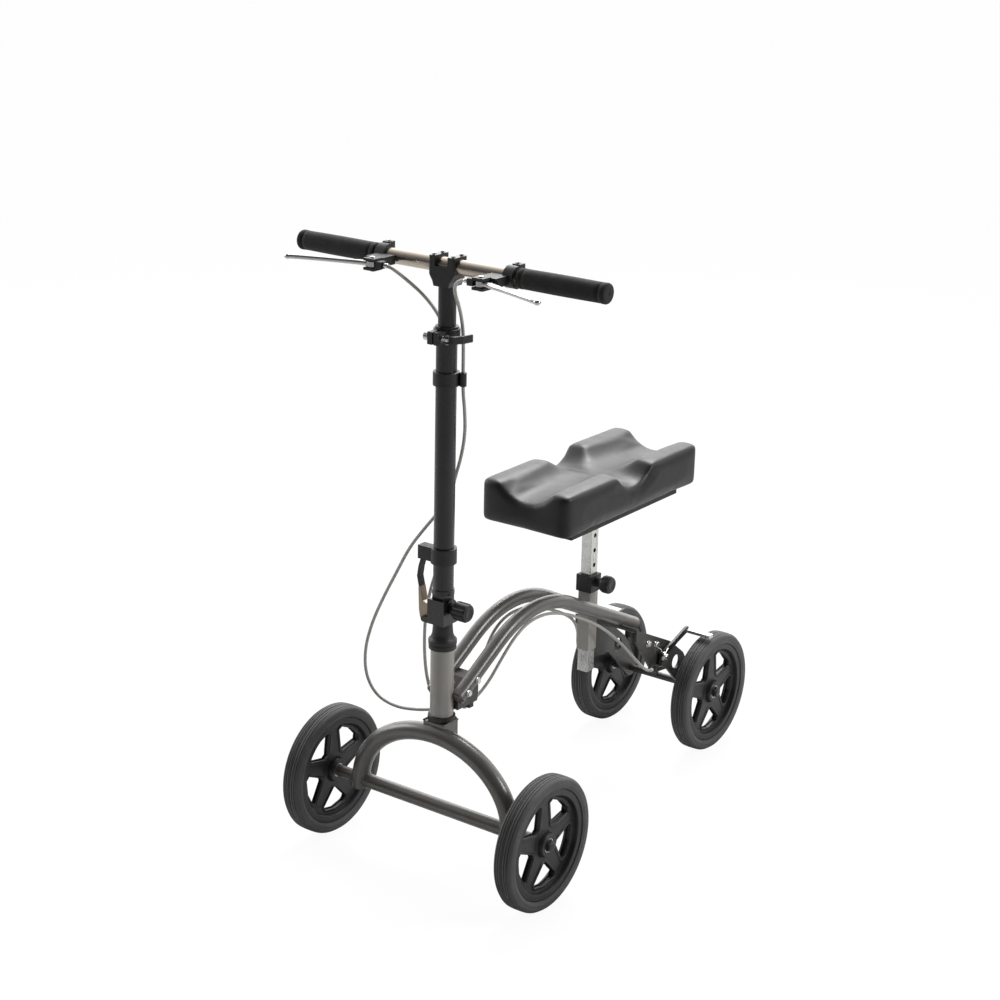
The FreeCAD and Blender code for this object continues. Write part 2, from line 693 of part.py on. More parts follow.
def square_tube(outer, inner, bottom, top):
    """A square tube round the knee post's axis."""
    y = D["post_y"]
    box = block((outer * -0.5, outer * 0.5), (y - outer * 0.5, y + outer * 0.5), (bottom, top))
    hole = block((inner * -0.5, inner * 0.5), (y - inner * 0.5, y + inner * 0.5), (bottom - 1.0, top + 1.0))
    return cut(box, hole)


post = D["post_width"]
sleeve = square_tube(D["sleeve_width"], post + 0.8, D["sleeve_bottom"], D["sleeve_top"])
post_at = (D["post_y"], 343.0)
node(cut(sleeve, rod("X", 4.6, 5.0, 15.0, post_at)), "seat_sleeve")
collar = fuse(square_tube(Size("29.0", 29.0), D["sleeve_width"], 326.0, 350.0),
              square_tube(Size("29.0", 29.0), post + 0.8, 350.0, 354.0), rod("X", 8.0, 13.0, 20.0, post_at))
node(cut(collar, rod("X", 3.95, 9.0, 22.0, post_at)), "seat_collar")

YOKE_TOP = D["frame_tube_radius"].number / math.cos(REAR_SLOPE)


def yoke_top(y):
    """Height of the yoke's top flange: it lies against the underside of the tubes."""
    return slope_height(y) - YOKE_TOP


def rear_yoke():
    """A folded steel channel: a sloping top flange and two cheeks that reach down to the axle."""
    side = [(140.0, yoke_top(140.0)), (246.0, yoke_top(246.0)), (290.0, 168.0), (327.0, 112.0), (329.0, 98.0),
            (320.0, 87.0), (306.0, 87.0), (296.0, 97.0), (240.0, 154.0), (196.0, 160.0), (140.0, 232.0)]
    body = plate("YZ_Plane", side, D["yoke_half"] * 2, holes=[(D["rear_axle_y"], D["axle_height"], D["axle_radius"]),
                                                              (268.0, 158.0, 12.0)])
    inside = new_sketch(body, "YZ_Plane", "inside")
    wall = num(D["yoke_wall"]) + 0.4
    outline(inside, [(100.0, yoke_top(100.0) - wall), (243.0, yoke_top(243.0) - wall), (243.0, 240.0), (400.0, 240.0),
                     (400.0, 40.0), (100.0, 40.0)])
    doc.recompute()
    hollow = body.newObject("PartDesign::Pocket", "hollow")
    hollow.Profile = inside
    bind(hollow, "Length", (D["yoke_half"] - D["yoke_wall"]) * 2)
    hollow.Midplane = True
    body.Tip = hollow
    parts = [body]
    for low in (56.5, -72.0):
        stop = block((low, low + 15.5), (185.0, 193.0), (164.0, 179.0))
        sleeve = rod("Y", D["cable_radius"] + 0.1, 180.0, 200.0, (math.copysign(67.0, low), 172.0))
        parts.append(cut(stop, sleeve))
    return fuse(*parts)


node(rear_yoke(), "rear_yoke")

screw_heads = []
for side in (1, -1):
    for y, drop in ((176.0, 17.0), (201.0, 13.5)):
        head = 60.1 if side == 1 else -63.6
        screw_heads.append(rod("X", 4.2, head, head + 3.5, (y, yoke_top(y) - drop)))
node(together(*screw_heads), "yoke_bolts")

spacer = D["axle_radius"] + 2.5
half_axle = [(D["axle_radius"], 60.2), (spacer, 60.4), (spacer, 87.6), (D["axle_radius"], 87.8), (D["axle_radius"], 119.0)]
axle = [(0.0, 119.0)] + [(radius, along) for radius, along in reversed(half_axle)]
axle = axle + [(radius, -along) for radius, along in half_axle] + [(0.0, -119.0)]
rear_at = (D["rear_axle_y"], D["axle_height"])
node(turned(axle, 0.0, *rear_at, axis="X"), "rear_axle")
node(nuts(D["rear_track"] * 0.5 + D["hub_width"] * 0.5 + 0.3, rear_at), "rear_axle_nuts")


# ---------------------------------------------------------------- knee post and pad

def knee_post():
    """A square tube with a row of adjustment holes on its left wall."""
    shell = square_tube(post, post - 3.6, D["post_bottom"], D["post_top"])
    holes = [rod("X", 3.4, 5.0, 12.0, (D["post_y"], 245.0 + 25.0 * i)) for i in range(8)]
    return cut(shell, *holes)


node(knee_post(), "knee_post")
board_half = (65.0, 150.0)
post_y = D["post_y"]
node(fuse(block((-38.0, 38.0), (post_y - 38.0, post_y + 38.0), (D["post_top"], 464.0)),
          block((-board_half[0], board_half[0]), (post_y - board_half[1], post_y + board_half[1]), (464.0, 472.0))),
     "pad_board")


def knee_pad():
    """The cushion as a plain closed solid: a block with one hollow along it and one across it."""
    half = (D["pad_width"] * 0.5, D["pad_length"] * 0.5)
    corners = [(-half[0], post_y - half[1]), (half[0], post_y - half[1]), (half[0], post_y + half[1]),
               (-half[0], post_y + half[1])]
    middle = D["pad_bottom"] + D["pad_height"] * 0.5
    body = plate("XY_Plane", corners, D["pad_height"], z=middle)
    soften(body, 12.0, upright)
    centre = D["pad_bottom"] + D["pad_height"] - D["pad_channel_depth"] + D["pad_channel_radius"]
    lengthwise = rod("Y", D["pad_channel_radius"], -200.0, 400.0, (0.0, centre))
    crosswise = rod("X", D["pad_channel_radius"], -150.0, 150.0, (post_y, centre))
    return cut(body, lengthwise, crosswise)


node(knee_pad(), "knee_pad")
knob_body = knob(20.6, 44.0, post_at, 3.9, 5)
node(fuse(knob_body, rod("X", 3.9, 10.0, 40.0, post_at)), "post_knob")


# ---------------------------------------------------------------- rear brakes

brake_at = (D["brake_pivot_y"], D["brake_pivot_z"])


def brake_arm(side):
    """A flat lever: a short tail for the wire and a long arm that ends over the tyre."""
    arm = [(211.0, 164.0), (218.0, 176.0), (226.0, 182.0), (262.0, 196.0), (290.0, 204.5), (296.0, 208.0), (294.0, 214.5),
           (285.0, 214.0), (250.0, 201.5), (218.0, 195.5), (208.0, 191.0), (206.0, 182.0), (201.0, 169.0), (204.0, 163.5)]
    body = plate("YZ_Plane", arm, 5.0, x=63.6 * side)
    return cut(body, rod("X", 4.05, 50.0 * side, 50.0 * side + 30.0 * side, brake_at)
               if side == 1 else rod("X", 4.05, -80.0, -50.0, brake_at))


def brake_shoe(side):
    """A pressed bar across the tyre's crown."""
    x = (66.2, 112.0) if side == 1 else (-112.0, -66.2)
    return block(x, (284.0, 296.0), (206.6, 211.6))


for name, side in (("left", 1), ("right", -1)):
    node(brake_arm(side), "brake_arm_" + name)
    node(brake_shoe(side), "brake_shoe_" + name)

pivots = []
for side in (1, -1):
    start = 60.1 if side == 1 else -74.0
    pivots.append(rod("X", 4.0, start, start + 13.9, brake_at))
node(together(*pivots), "brake_pivots")


# ---------------------------------------------------------------- cables

clip = block((-13.0, 13.0), (-246.0, -236.0), (237.0, 249.9))
clip_holes = [rod("Y", D["cable_radius"] + 0.1, -250.0, -230.0, (x, 243.0)) for x in (-6.5, 6.5)]
node(fuse(cut(clip, *clip_holes), rod("Z", 3.2, 232.5, 237.0, (0.0, -241.0))), "cable_clip")

z = num(D["bar_height"]) - 3.0
UPPER_RIGHT = [(-71.9, -346.0, z), (-64.0, -346.0, z), (-54.0, -341.0, z - 7), (-46.0, -325.0, z - 22),
               (-38.0, -302.0, z - 43), (-29.0, -282.0, z - 70), (-19.0, -272.5, z - 100), (-13.0, -271.5, z - 126),
               (-13.0, -271.5, 765.0)]
UPPER_LEFT = [(71.9, -346.0, z), (64.0, -346.0, z), (54.0, -344.0, z - 4), (44.0, -338.0, z - 11), (33.0, -324.0, z - 26),
              (27.0, -305.0, z - 50), (23.5, -292.0, z - 78), (22.5, -288.0, z - 108), (22.5, -288.0, 765.0)]
COLUMN_RIGHT = [(-13.0, -271.5, 764.9), (-13.0, -271.5, 735.0), (-11.5, -272.5, 690.0), (-13.0, -271.5, 640.0),
                (-13.0, -271.5, 600.0)]
COLUMN_LEFT = [(22.5, -288.0, 764.9), (22.5, -288.0, 738.0), (25.0, -286.0, 710.0), (22.0, -280.0, 672.0),
               (9.0, -272.0, 632.0), (-4.0, -270.0, 596.0), (-8.0, -270.0, 571.0), (-8.0, -270.0, 550.0)]
LOOP_RIGHT = [(-13.0, -271.5, 599.9), (-13.0, -271.5, 577.0), (-29.0, -271.5, 544.0), (-56.0, -271.0, 512.0),
              (-84.0, -270.5, 476.0), (-108.0, -270.0, 432.0), (-133.0, -270.0, 386.0), (-155.0, -270.0, 340.0),
              (-169.0, -270.0, 294.0), (-168.0, -270.0, 252.0), (-148.0, -269.0, 222.0), (-112.0, -267.0, 212.0),
              (-74.0, -265.0, 217.0), (-43.0, -264.5, 226.0), (-22.0, -264.0, 232.0), (-10.5, -261.0, 238.0),
              (-6.5, -255.0, 243.0), (-6.5, -246.5, 243.0)]
LOOP_LEFT = [(-8.0, -270.0, 549.9), (-8.0, -270.0, 530.0), (-15.0, -270.5, 502.0), (-26.0, -272.0, 468.0),
             (-38.0, -276.0, 430.0), (-46.0, -279.0, 385.0), (-48.0, -279.0, 340.0), (-47.0, -277.0, 298.0),
             (-42.0, -273.5, 265.0), (-32.0, -272.0, 246.0), (-19.0, -271.0, 240.5), (-6.0, -269.5, 240.0),
             (3.0, -264.0, 242.0), (6.5, -256.0, 243.0), (6.5, -246.5, 243.0)]
FRAME_RUN = [(6.5, -246.0, 243.0), (6.5, -230.0, 243.0), (8.0, -212.0, 250.0), (12.0, -193.0, 267.0),
             (16.0, -172.0, 293.0), (20.0, -146.0, 320.0), (21.0, -112.0, 335.5), (21.0, -70.0, 336.0),
             (21.0, -30.0, 326.0), (21.0, 10.0, 309.0), (22.0, 50.0, 289.5), (29.0, 90.0, 264.0), (43.0, 124.0, 230.0),
             (56.0, 142.0, 203.0), (64.0, 160.0, 181.0), (67.0, 176.0, 172.0), (67.0, 192.0, 172.0)]

radius = D["cable_radius"]
upper = [cable("upper_right", UPPER_RIGHT, radius), cable("upper_left", UPPER_LEFT, radius)]
node(shaped(Part.makeCompound(upper)), "brake_cables_upper")
middle = [cable("column_right", COLUMN_RIGHT, radius), cable("column_left", COLUMN_LEFT, radius)]
node(shaped(Part.makeCompound(middle)), "brake_cables_column")
loops = [cable("loop_right", LOOP_RIGHT, radius), cable("loop_left", LOOP_LEFT, radius)]
node(shaped(Part.makeCompound(loops)), "brake_cable_loops")
run = cable("frame_run", FRAME_RUN, radius)
node(shaped(Part.makeCompound([run, mirrored(run)])), "brake_cables_frame")


# ---------------------------------------------------------------- check and write

doc.recompute()
faults = [obj.Name + " " + str(obj.State) for obj in doc.Objects if {"Invalid", "Error"} & set(obj.State)]
for obj in nodes:
    shape = obj.Shape
    if shape.isNull() or not shape.isValid() or not shape.Solids:
        faults.append(obj.Label + " has no valid solid")
if len({obj.Label for obj in nodes}) != len(nodes):
    faults.append("two sub-parts share a label")
if faults:
    raise RuntimeError("; ".join(faults))

os.makedirs("parts", exist_ok=True)
whole = FreeCAD.BoundBox()
for obj in nodes:
    whole.add(obj.Shape.BoundBox)
    obj.Shape.exportStep("parts/" + obj.Label + ".step")
print("%d sub-parts, box %.1f x %.1f x %.1f mm, centre %.2f %.2f"
      % (len(nodes), whole.XLength, whole.YLength, whole.ZLength, whole.Center.x, whole.Center.y))
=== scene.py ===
"""Knee scooter: the looks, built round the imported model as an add-on that runs as a script."""
import json
import math

import bmesh
import bpy
from bpy.props import FloatProperty, FloatVectorProperty, PointerProperty
from mathutils import Matrix, Vector


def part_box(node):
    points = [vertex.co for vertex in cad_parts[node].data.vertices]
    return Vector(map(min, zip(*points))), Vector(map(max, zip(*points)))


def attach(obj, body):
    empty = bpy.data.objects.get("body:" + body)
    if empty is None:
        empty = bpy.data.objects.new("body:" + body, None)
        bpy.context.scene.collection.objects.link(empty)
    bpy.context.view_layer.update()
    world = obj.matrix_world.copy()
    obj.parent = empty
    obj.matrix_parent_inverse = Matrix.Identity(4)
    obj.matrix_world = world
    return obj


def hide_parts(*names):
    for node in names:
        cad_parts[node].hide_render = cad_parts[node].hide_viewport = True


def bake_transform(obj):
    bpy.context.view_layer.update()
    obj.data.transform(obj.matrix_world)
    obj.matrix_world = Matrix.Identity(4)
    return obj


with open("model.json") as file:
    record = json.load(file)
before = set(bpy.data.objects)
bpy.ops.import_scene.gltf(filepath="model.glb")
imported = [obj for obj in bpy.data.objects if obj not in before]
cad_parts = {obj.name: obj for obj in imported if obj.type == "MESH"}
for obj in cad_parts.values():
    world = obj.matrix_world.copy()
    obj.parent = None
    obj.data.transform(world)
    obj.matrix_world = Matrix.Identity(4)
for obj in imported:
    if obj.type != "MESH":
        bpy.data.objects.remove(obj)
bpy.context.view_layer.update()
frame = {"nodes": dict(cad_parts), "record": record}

bl_info = {
    "name": "Knee scooter",
    "version": (1, 0, 0),
    "blender": (4, 5, 0),
    "location": "View3D > Sidebar > Scooter",
    "description": "Builds the visible pieces and finishes of a steerable knee scooter",
    "category": "Add Mesh",
}

BAR = (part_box("handlebar")[0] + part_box("handlebar")[1]) / 2
BAR_RADIUS = (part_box("handlebar")[1].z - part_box("handlebar")[0].z) / 2
AXES = {"X": Vector((1, 0, 0)), "Y": Vector((0, 1, 0)), "Z": Vector((0, 0, 1))}
WHEELS = ("front_left", "front_right", "rear_left", "rear_right")


# ------------------------------------------------------------------ settings

def colour(label, text, tone):
    """A colour setting."""
    return FloatVectorProperty(name=label, description=text, subtype="COLOR", size=3, min=0, max=1, default=tone)


class SCOOTER_PG_colours(bpy.types.PropertyGroup):
    """The base colour of each finish."""
    tyre: colour("Tyre", "Solid rubber tyres", (0.070, 0.070, 0.069))
    rim: colour("Rim", "Moulded nylon rims", (0.013, 0.013, 0.013))
    arch: colour("Arch and tubes", "Powder coat on the arch and the twin tubes", (0.135, 0.129, 0.121))
    yoke: colour("Yoke", "Powder coat on the yoke and the hinge base", (0.055, 0.053, 0.050))
    head: colour("Head tube", "Powder coat on the head tube and the sleeve", (0.36, 0.342, 0.315))
    column: colour("Column", "Black powder coat on the column and stem", (0.006, 0.006, 0.006))
    plated: colour("Plated steel", "Bright zinc plate", (0.72, 0.72, 0.70))
    moulding: colour("Mouldings", "Black plastic knobs, rings and brackets", (0.012, 0.012, 0.012))
    brass: colour("Latch", "Yellow zinc plate on the latch lever", (0.34, 0.285, 0.225))
    bar: colour("Handlebar", "Champagne anodised bar", (0.54, 0.47, 0.40))
    lever: colour("Brake levers", "Polished cast levers", (0.66, 0.65, 0.64))
    grip: colour("Grips", "Foam grips", (0.022, 0.022, 0.021))
    vinyl: colour("Knee pad", "Vinyl skin of the knee pad", (0.0060, 0.0057, 0.0053))
    board: colour("Pad board", "Stained board under the pad", (0.016, 0.015, 0.014))
    cable: colour("Cables", "Cable housing", (0.44, 0.425, 0.40))


class SCOOTER_PG_sizes(bpy.types.PropertyGroup):
    """Sizes of the pieces that are made here."""
    cable_radius: FloatProperty(name="Cable radius", description="Radius of the cable housing", default=0.0025,
                                min=0.001, max=0.004, unit="LENGTH")
    pad_swell: FloatProperty(name="Pad swell", description="Most that the foam may stand proud as it fills",
                             default=0.004,
                             min=0.0, max=0.01, unit="LENGTH")
    pad_voxel: FloatProperty(name="Pad voxel", description="Size of the pad's remesh", default=0.004,
                             min=0.002, max=0.01, unit="LENGTH")
    weld_radius: FloatProperty(name="Weld radius", description="Radius of a weld bead", default=0.0017,
                               min=0.0005, max=0.004, unit="LENGTH")
    groove: FloatProperty(name="Tread groove", description="Depth of the tyres' grooves", default=0.0011,
                          min=0.0, max=0.003, unit="LENGTH")


class SCOOTER_PG_stage(bpy.types.PropertyGroup):
    """Camera and light."""
    azimuth: FloatProperty(name="Azimuth", description="Camera angle round the scooter", default=math.radians(35.87),
                           subtype="ANGLE")
    elevation: FloatProperty(name="Elevation", description="Camera angle above the floor",
                             default=math.radians(18.4145),
                             subtype="ANGLE")
    roll: FloatProperty(name="Roll", description="Camera roll", default=math.radians(1.3119), subtype="ANGLE")
    distance: FloatProperty(name="Distance", description="Camera distance", default=3.2631, unit="LENGTH")
    aim_side: FloatProperty(name="Aim sideways", description="How far right of the scooter the camera aims",
                            default=-0.0969, unit="LENGTH")
    aim_height: FloatProperty(name="Aim height", description="Height the camera aims at", default=0.4952, unit="LENGTH")
    lens: FloatProperty(name="Lens", description="Focal length in millimetres", default=76.07, min=10, max=300)
    key_power: FloatProperty(name="Key light", description="Power of the key light", default=40.0, unit="POWER")
    world_back: FloatProperty(name="White wall", description="Strength of the white wall behind", default=2.3, min=0,
                              max=5)
    world_front: FloatProperty(name="Dim front", description="Strength of the dim side in front", default=0.07, min=0,
                               max=5)


# ------------------------------------------------------------------ mesh helpers

def mm(x, y, z):
    """A point given in millimetres."""
    return Vector((x, y, z)) / 1000


def settings():
    """The scene's size settings."""
    return bpy.context.scene.scooter_sizes


def piece(name, mesh, finish, body=None, sharp=40):
    """A shown object with one finish, smooth but for its sharp edges, that rides on a body."""
    obj = bpy.data.objects.new(name, mesh)
    bpy.context.scene.collection.objects.link(obj)
    mesh.materials.clear()
    mesh.materials.append(bpy.data.materials[finish])
    mesh.shade_smooth()
    mesh.set_sharp_from_angle(angle=math.radians(sharp))
    if body:
        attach(obj, body)
    return obj


def mesh_of(name, verts, faces):
    """A mesh with its normals turned outwards."""
    mesh = bpy.data.meshes.new(name)
    mesh.from_pydata([tuple(v) for v in verts], [], faces)
    form = bmesh.new()
    form.from_mesh(mesh)
    bmesh.ops.remove_doubles(form, verts=form.verts, dist=1e-6)
    bmesh.ops.recalc_face_normals(form, faces=form.faces)
    form.to_mesh(mesh)
    form.free()
    return mesh


def joined(name, meshes):
    """Several meshes as one."""
    form = bmesh.new()
    for mesh in meshes:
        form.from_mesh(mesh)
        bpy.data.meshes.remove(mesh)
    mesh = bpy.data.meshes.new(name)
    form.to_mesh(mesh)
    form.free()
    return mesh


def basis(axis):
    """Two directions square to an axis."""
    axis = axis.normalized()
    side = axis.orthogonal().normalized()
    if abs(axis.x) > 0.9:
        side = Vector((0, 1, 0))
    elif abs(axis.z) > 0.9:
        side = Vector((1, 0, 0))
    side = (side - axis * side.dot(axis)).normalized()
    return side, axis.cross(side)


def lathe(profile, centre, axis, steps=96, closed=True, start=0.0):
    """A turned form; profile points are (radius, distance along the axis) in millimetres."""
    side, up = basis(axis)
    verts = []
    for step in range(steps):
        angle = start + 2 * math.pi * step / steps
        out = side * math.cos(angle) + up * math.sin(angle)
        verts += [centre + (out * radius + axis * along) / 1000 for radius, along in profile]
    count = len(profile)
    faces = []
    for step in range(steps):
        here = step * count
        there = (step + 1) % steps * count
        for i in range(count if closed else count - 1):
            after = (i + 1) % count
            faces.append((here + i, here + after, there + after, there + i))
    return mesh_of("turned", verts, faces)


def solid_lathe(profile, centre, axis, steps=64, start=0.0):
    """A turned solid whose profile begins and ends on the axis."""
    mesh = lathe(profile, centre, axis, steps, False, start)
    form = bmesh.new()
    form.from_mesh(mesh)
    bmesh.ops.remove_doubles(form, verts=form.verts, dist=1e-6)
    bmesh.ops.dissolve_degenerate(form, edges=form.edges, dist=1e-7)
    bmesh.ops.recalc_face_normals(form, faces=form.faces)
    form.to_mesh(mesh)
    form.free()
    return mesh


def smooth_line(points, order=3):
    """Points along the NURBS curve that these control points pull."""
    curve = bpy.data.curves.new("route", "CURVE")
    curve.dimensions = "3D"
    curve.resolution_u = 10
    spline = curve.splines.new("NURBS")
    spline.points.add(len(points) - 1)
    for point, spot in zip(spline.points, points):
        point.co = (*spot, 1.0)
    spline.order_u = order
    spline.use_endpoint_u = True
    holder = bpy.data.objects.new("route", curve)
    bpy.context.scene.collection.objects.link(holder)
    mesh = bpy.data.meshes.new_from_object(holder)
    line = [v.co.copy() for v in mesh.vertices]
    bpy.data.objects.remove(holder)
    bpy.data.curves.remove(curve)
    bpy.data.meshes.remove(mesh)
    return line


def sweep(line, section, closed=False, scale=None, up=None):
    """A tube along a line. section is a list of (across, up) offsets in metres; scale(share) grows it."""
    count = len(line)
    tangents = []
    for i in range(count):
        before = line[(i - 1) % count] if closed else line[max(i - 1, 0)]
        after = line[(i + 1) % count] if closed else line[min(i + 1, count - 1)]
        tangents.append((after - before).normalized())
    side = up.cross(tangents[0]).normalized() if up else basis(tangents[0])[0]
    verts = []
    for i, (spot, tangent) in enumerate(zip(line, tangents)):
        if up:
            side = up.cross(tangent).normalized()
        else:
            side = (side - tangent * side.dot(tangent)).normalized()
        rise = tangent.cross(side)
        grow = scale(i / max(count - 1, 1)) if scale else 1.0
        grow = grow if isinstance(grow, tuple) else (grow, grow)
        verts += [spot + side * (a * grow[0]) + rise * (b * grow[1]) for a, b in section]
    ring = len(section)
    faces = []
    for i in range(count if closed else count - 1):
        here, there = i * ring, (i + 1) % count * ring
        for j in range(ring):
            after = (j + 1) % ring
            faces.append((here + j, here + after, there + after, there + j))
    if not closed:
        faces.append(tuple(range(ring)))
        faces.append(tuple(range(len(verts) - ring, len(verts))))
    return mesh_of("swept", verts, faces)


def round_section(radius, sides=12):
    """A circle of offsets."""
    return [(radius * math.cos(2 * math.pi * i / sides), radius * math.sin(2 * math.pi * i / sides))
            for i in range(sides)]


def oval_section(half_width, half_height, power=2.6, sides=20):
    """A squarish oval of offsets."""
    ring = []
    for i in range(sides):
        angle = 2 * math.pi * i / sides
        c, s = math.cos(angle), math.sin(angle)
        ring.append((half_width * math.copysign(abs(c) ** (2 / power), c),
                     half_height * math.copysign(abs(s) ** (2 / power), s)))
    return ring


def bevelled(obj, width, segments=2, weld=False):
    """Soft edges on a piece or on a carried-over node."""
    if weld:
        join = obj.modifiers.new("join", "WELD")
        join.merge_threshold = 0.00002
    bevel = obj.modifiers.new("soft edges", "BEVEL")
    bevel.width = width / 1000
    bevel.segments = segments
    bevel.limit_method = "ANGLE"
    bevel.angle_limit = math.radians(38)
    bevel.harden_normals = False
    even = obj.modifiers.new("even shading", "WEIGHTED_NORMAL")
    even.keep_sharp = True
    return obj


def hex_head(centre, axis, flats, height, washer=0.0):
    """A hexagon head or nut with chamfered corners, over a washer if that is given a radius."""
    corner = flats / math.sqrt(3)
    parts = []
    base = 0.0
    if washer:
        parts.append(solid_lathe([(0, 0), (washer, 0), (washer, 0.8), (washer - 0.5, 1.2), (0, 1.2)], centre, axis, 40))
        base = 1.2
    profile = [(0, base), (corner, base), (corner, base + height * 0.8), (corner * 0.88, base + height),
               (0, base + height)]
    parts.append(solid_lathe(profile, centre, axis, 6, math.pi / 6))
    return joined("fastener", parts)


def socket_screw(centre, axis, radius, height):
    """A round screw head with a round recess."""
    body = [(0, height * 0.35), (radius * 0.5, height * 0.35), (radius * 0.56, height), (radius * 0.85, height),
            (radius, height * 0.8), (radius, 0), (0, 0)]
    return solid_lathe(body, centre, axis, 24)


# ------------------------------------------------------------------ finishes

def group_inputs(tree, inputs, outputs):
    """Adds a group's sockets; each is (name, kind, default)."""
    for name, kind, default in inputs:
        socket = tree.interface.new_socket(name=name, in_out="INPUT", socket_type=kind)
        if default is not None:
            socket.default_value = default
    for name, kind in outputs:
        tree.interface.new_socket(name=name, in_out="OUTPUT", socket_type=kind)


def start_group(name, inputs, outputs):
    """A new shader node group with its ends."""
    tree = bpy.data.node_groups.new(name, "ShaderNodeTree")
    group_inputs(tree, inputs, outputs)
    return tree, tree.nodes.new("NodeGroupInput"), tree.nodes.new("NodeGroupOutput")


def wire(tree, start, end):
    """Links two sockets."""
    tree.links.new(start, end)


def noise(tree, vector, scale, detail=3.0, roughness=0.5):
    """A noise texture; scale may be a socket."""
    node = tree.nodes.new("ShaderNodeTexNoise")
    node.inputs["Detail"].default_value = detail
    node.inputs["Roughness"].default_value = roughness
    wire(tree, vector, node.inputs["Vector"])
    if isinstance(scale, (int, float)):
        node.inputs["Scale"].default_value = scale
    else:
        wire(tree, scale, node.inputs["Scale"])
    return node.outputs["Fac"]


def remap(tree, value, low, high, to_low=0.0, to_high=1.0):
    """A clamped map range."""
    node = tree.nodes.new("ShaderNodeMapRange")
    wire(tree, value, node.inputs["Value"])
    for socket, number in zip(("From Min", "From Max", "To Min", "To Max"), (low, high, to_low, to_high)):
        node.inputs[socket].default_value = number
    return node.outputs["Result"]


def maths(tree, operation, a, b):
    """A maths node; a and b are sockets or numbers."""
    node = tree.nodes.new("ShaderNodeMath")
    node.operation = operation
    for socket, value in zip(node.inputs, (a, b)):
        if isinstance(value, (int, float)):
            socket.default_value = value
        else:
            wire(tree, value, socket)
    return node.outputs["Value"]


def mixed(tree, share, a, b):
    """Mixes two colours, each a socket or a colour."""
    node = tree.nodes.new("ShaderNodeMix")
    node.data_type = "RGBA"
    if isinstance(share, (int, float)):
        node.inputs[0].default_value = share
    else:
        wire(tree, share, node.inputs[0])
    for socket, value in ((node.inputs[6], a), (node.inputs[7], b)):
        if isinstance(value, (tuple, list)):
            socket.default_value = value
        else:
            wire(tree, value, socket)
    return node.outputs[2]


def make_tone_group():
    """Slow changes of tone, with small rubbed or scuffed patches."""
    tree, ends, out = start_group(
        "handled_tone",
        [("Vector", "NodeSocketVector", None), ("Base", "NodeSocketColor", (0.1, 0.1, 0.1, 1)),
         ("Rubbed", "NodeSocketColor", (0.2, 0.2, 0.2, 1)), ("Patch Scale", "NodeSocketFloat", 14.0),
         ("Rub Amount", "NodeSocketFloat", 0.3)],
        [("Color", "NodeSocketColor"), ("Mask", "NodeSocketFloat")])
    vector = ends.outputs["Vector"]
    slow = noise(tree, vector, ends.outputs["Patch Scale"], 2.0, 0.5)
    fine = noise(tree, vector, 240.0, 4.0, 0.65)
    patches = remap(tree, slow, 0.42, 0.72)
    specks = remap(tree, fine, 0.50, 0.74)
    mask = maths(tree, "MULTIPLY", maths(tree, "MULTIPLY", patches, specks), ends.outputs["Rub Amount"])
    drift = remap(tree, slow, 0.3, 0.7, 0.0, 0.22)
    toned = mixed(tree, drift, ends.outputs["Base"], ends.outputs["Rubbed"])
    wire(tree, mixed(tree, mask, toned, ends.outputs["Rubbed"]), out.inputs["Color"])
    wire(tree, mask, out.inputs["Mask"])


def make_coat_group():
    """The orange-peel skin of sprayed powder or moulded plastic."""
    tree, ends, out = start_group(
        "sprayed_skin", [("Vector", "NodeSocketVector", None), ("Peel Scale", "NodeSocketFloat", 700.0)],
        [("Height", "NodeSocketFloat")])
    vector = ends.outputs["Vector"]
    peel = noise(tree, vector, ends.outputs["Peel Scale"], 2.0, 0.45)
    broad = noise(tree, vector, maths(tree, "MULTIPLY", ends.outputs["Peel Scale"], 0.22), 1.0, 0.5)
    wire(tree, maths(tree, "ADD", peel, maths(tree, "MULTIPLY", broad, 0.6)), out.inputs["Height"])


def make_pore_group():
    """Closed pebbles with creases between them: vinyl grain or foam cells, by scale."""
    tree, ends, out = start_group(
        "pebbled_skin", [("Vector", "NodeSocketVector", None), ("Pebble Scale", "NodeSocketFloat", 900.0)],
        [("Height", "NodeSocketFloat"), ("Crease", "NodeSocketFloat")])
    warp = noise(tree, ends.outputs["Vector"], 180.0, 2.0, 0.5)
    shift = tree.nodes.new("ShaderNodeVectorMath")
    shift.operation = "ADD"
    wire(tree, ends.outputs["Vector"], shift.inputs[0])
    spread = tree.nodes.new("ShaderNodeCombineXYZ")
    nudge = maths(tree, "MULTIPLY", warp, 0.0012)
    for socket in spread.inputs:
        wire(tree, nudge, socket)
    wire(tree, spread.outputs["Vector"], shift.inputs[1])
    cells = tree.nodes.new("ShaderNodeTexVoronoi")
    cells.feature = "DISTANCE_TO_EDGE"
    wire(tree, shift.outputs["Vector"], cells.inputs["Vector"])
    wire(tree, ends.outputs["Pebble Scale"], cells.inputs["Scale"])
    crease = remap(tree, cells.outputs["Distance"], 0.0, 0.22)
    fine = noise(tree, ends.outputs["Vector"], 2600.0, 2.0, 0.5)
    wire(tree, maths(tree, "ADD", crease, maths(tree, "MULTIPLY", fine, 0.25)), out.inputs["Height"])
    # The Crease output marks the creases, and the finish uses it to paint shade into them.
    wire(tree, maths(tree, "SUBTRACT", 1.0, crease), out.inputs["Crease"])


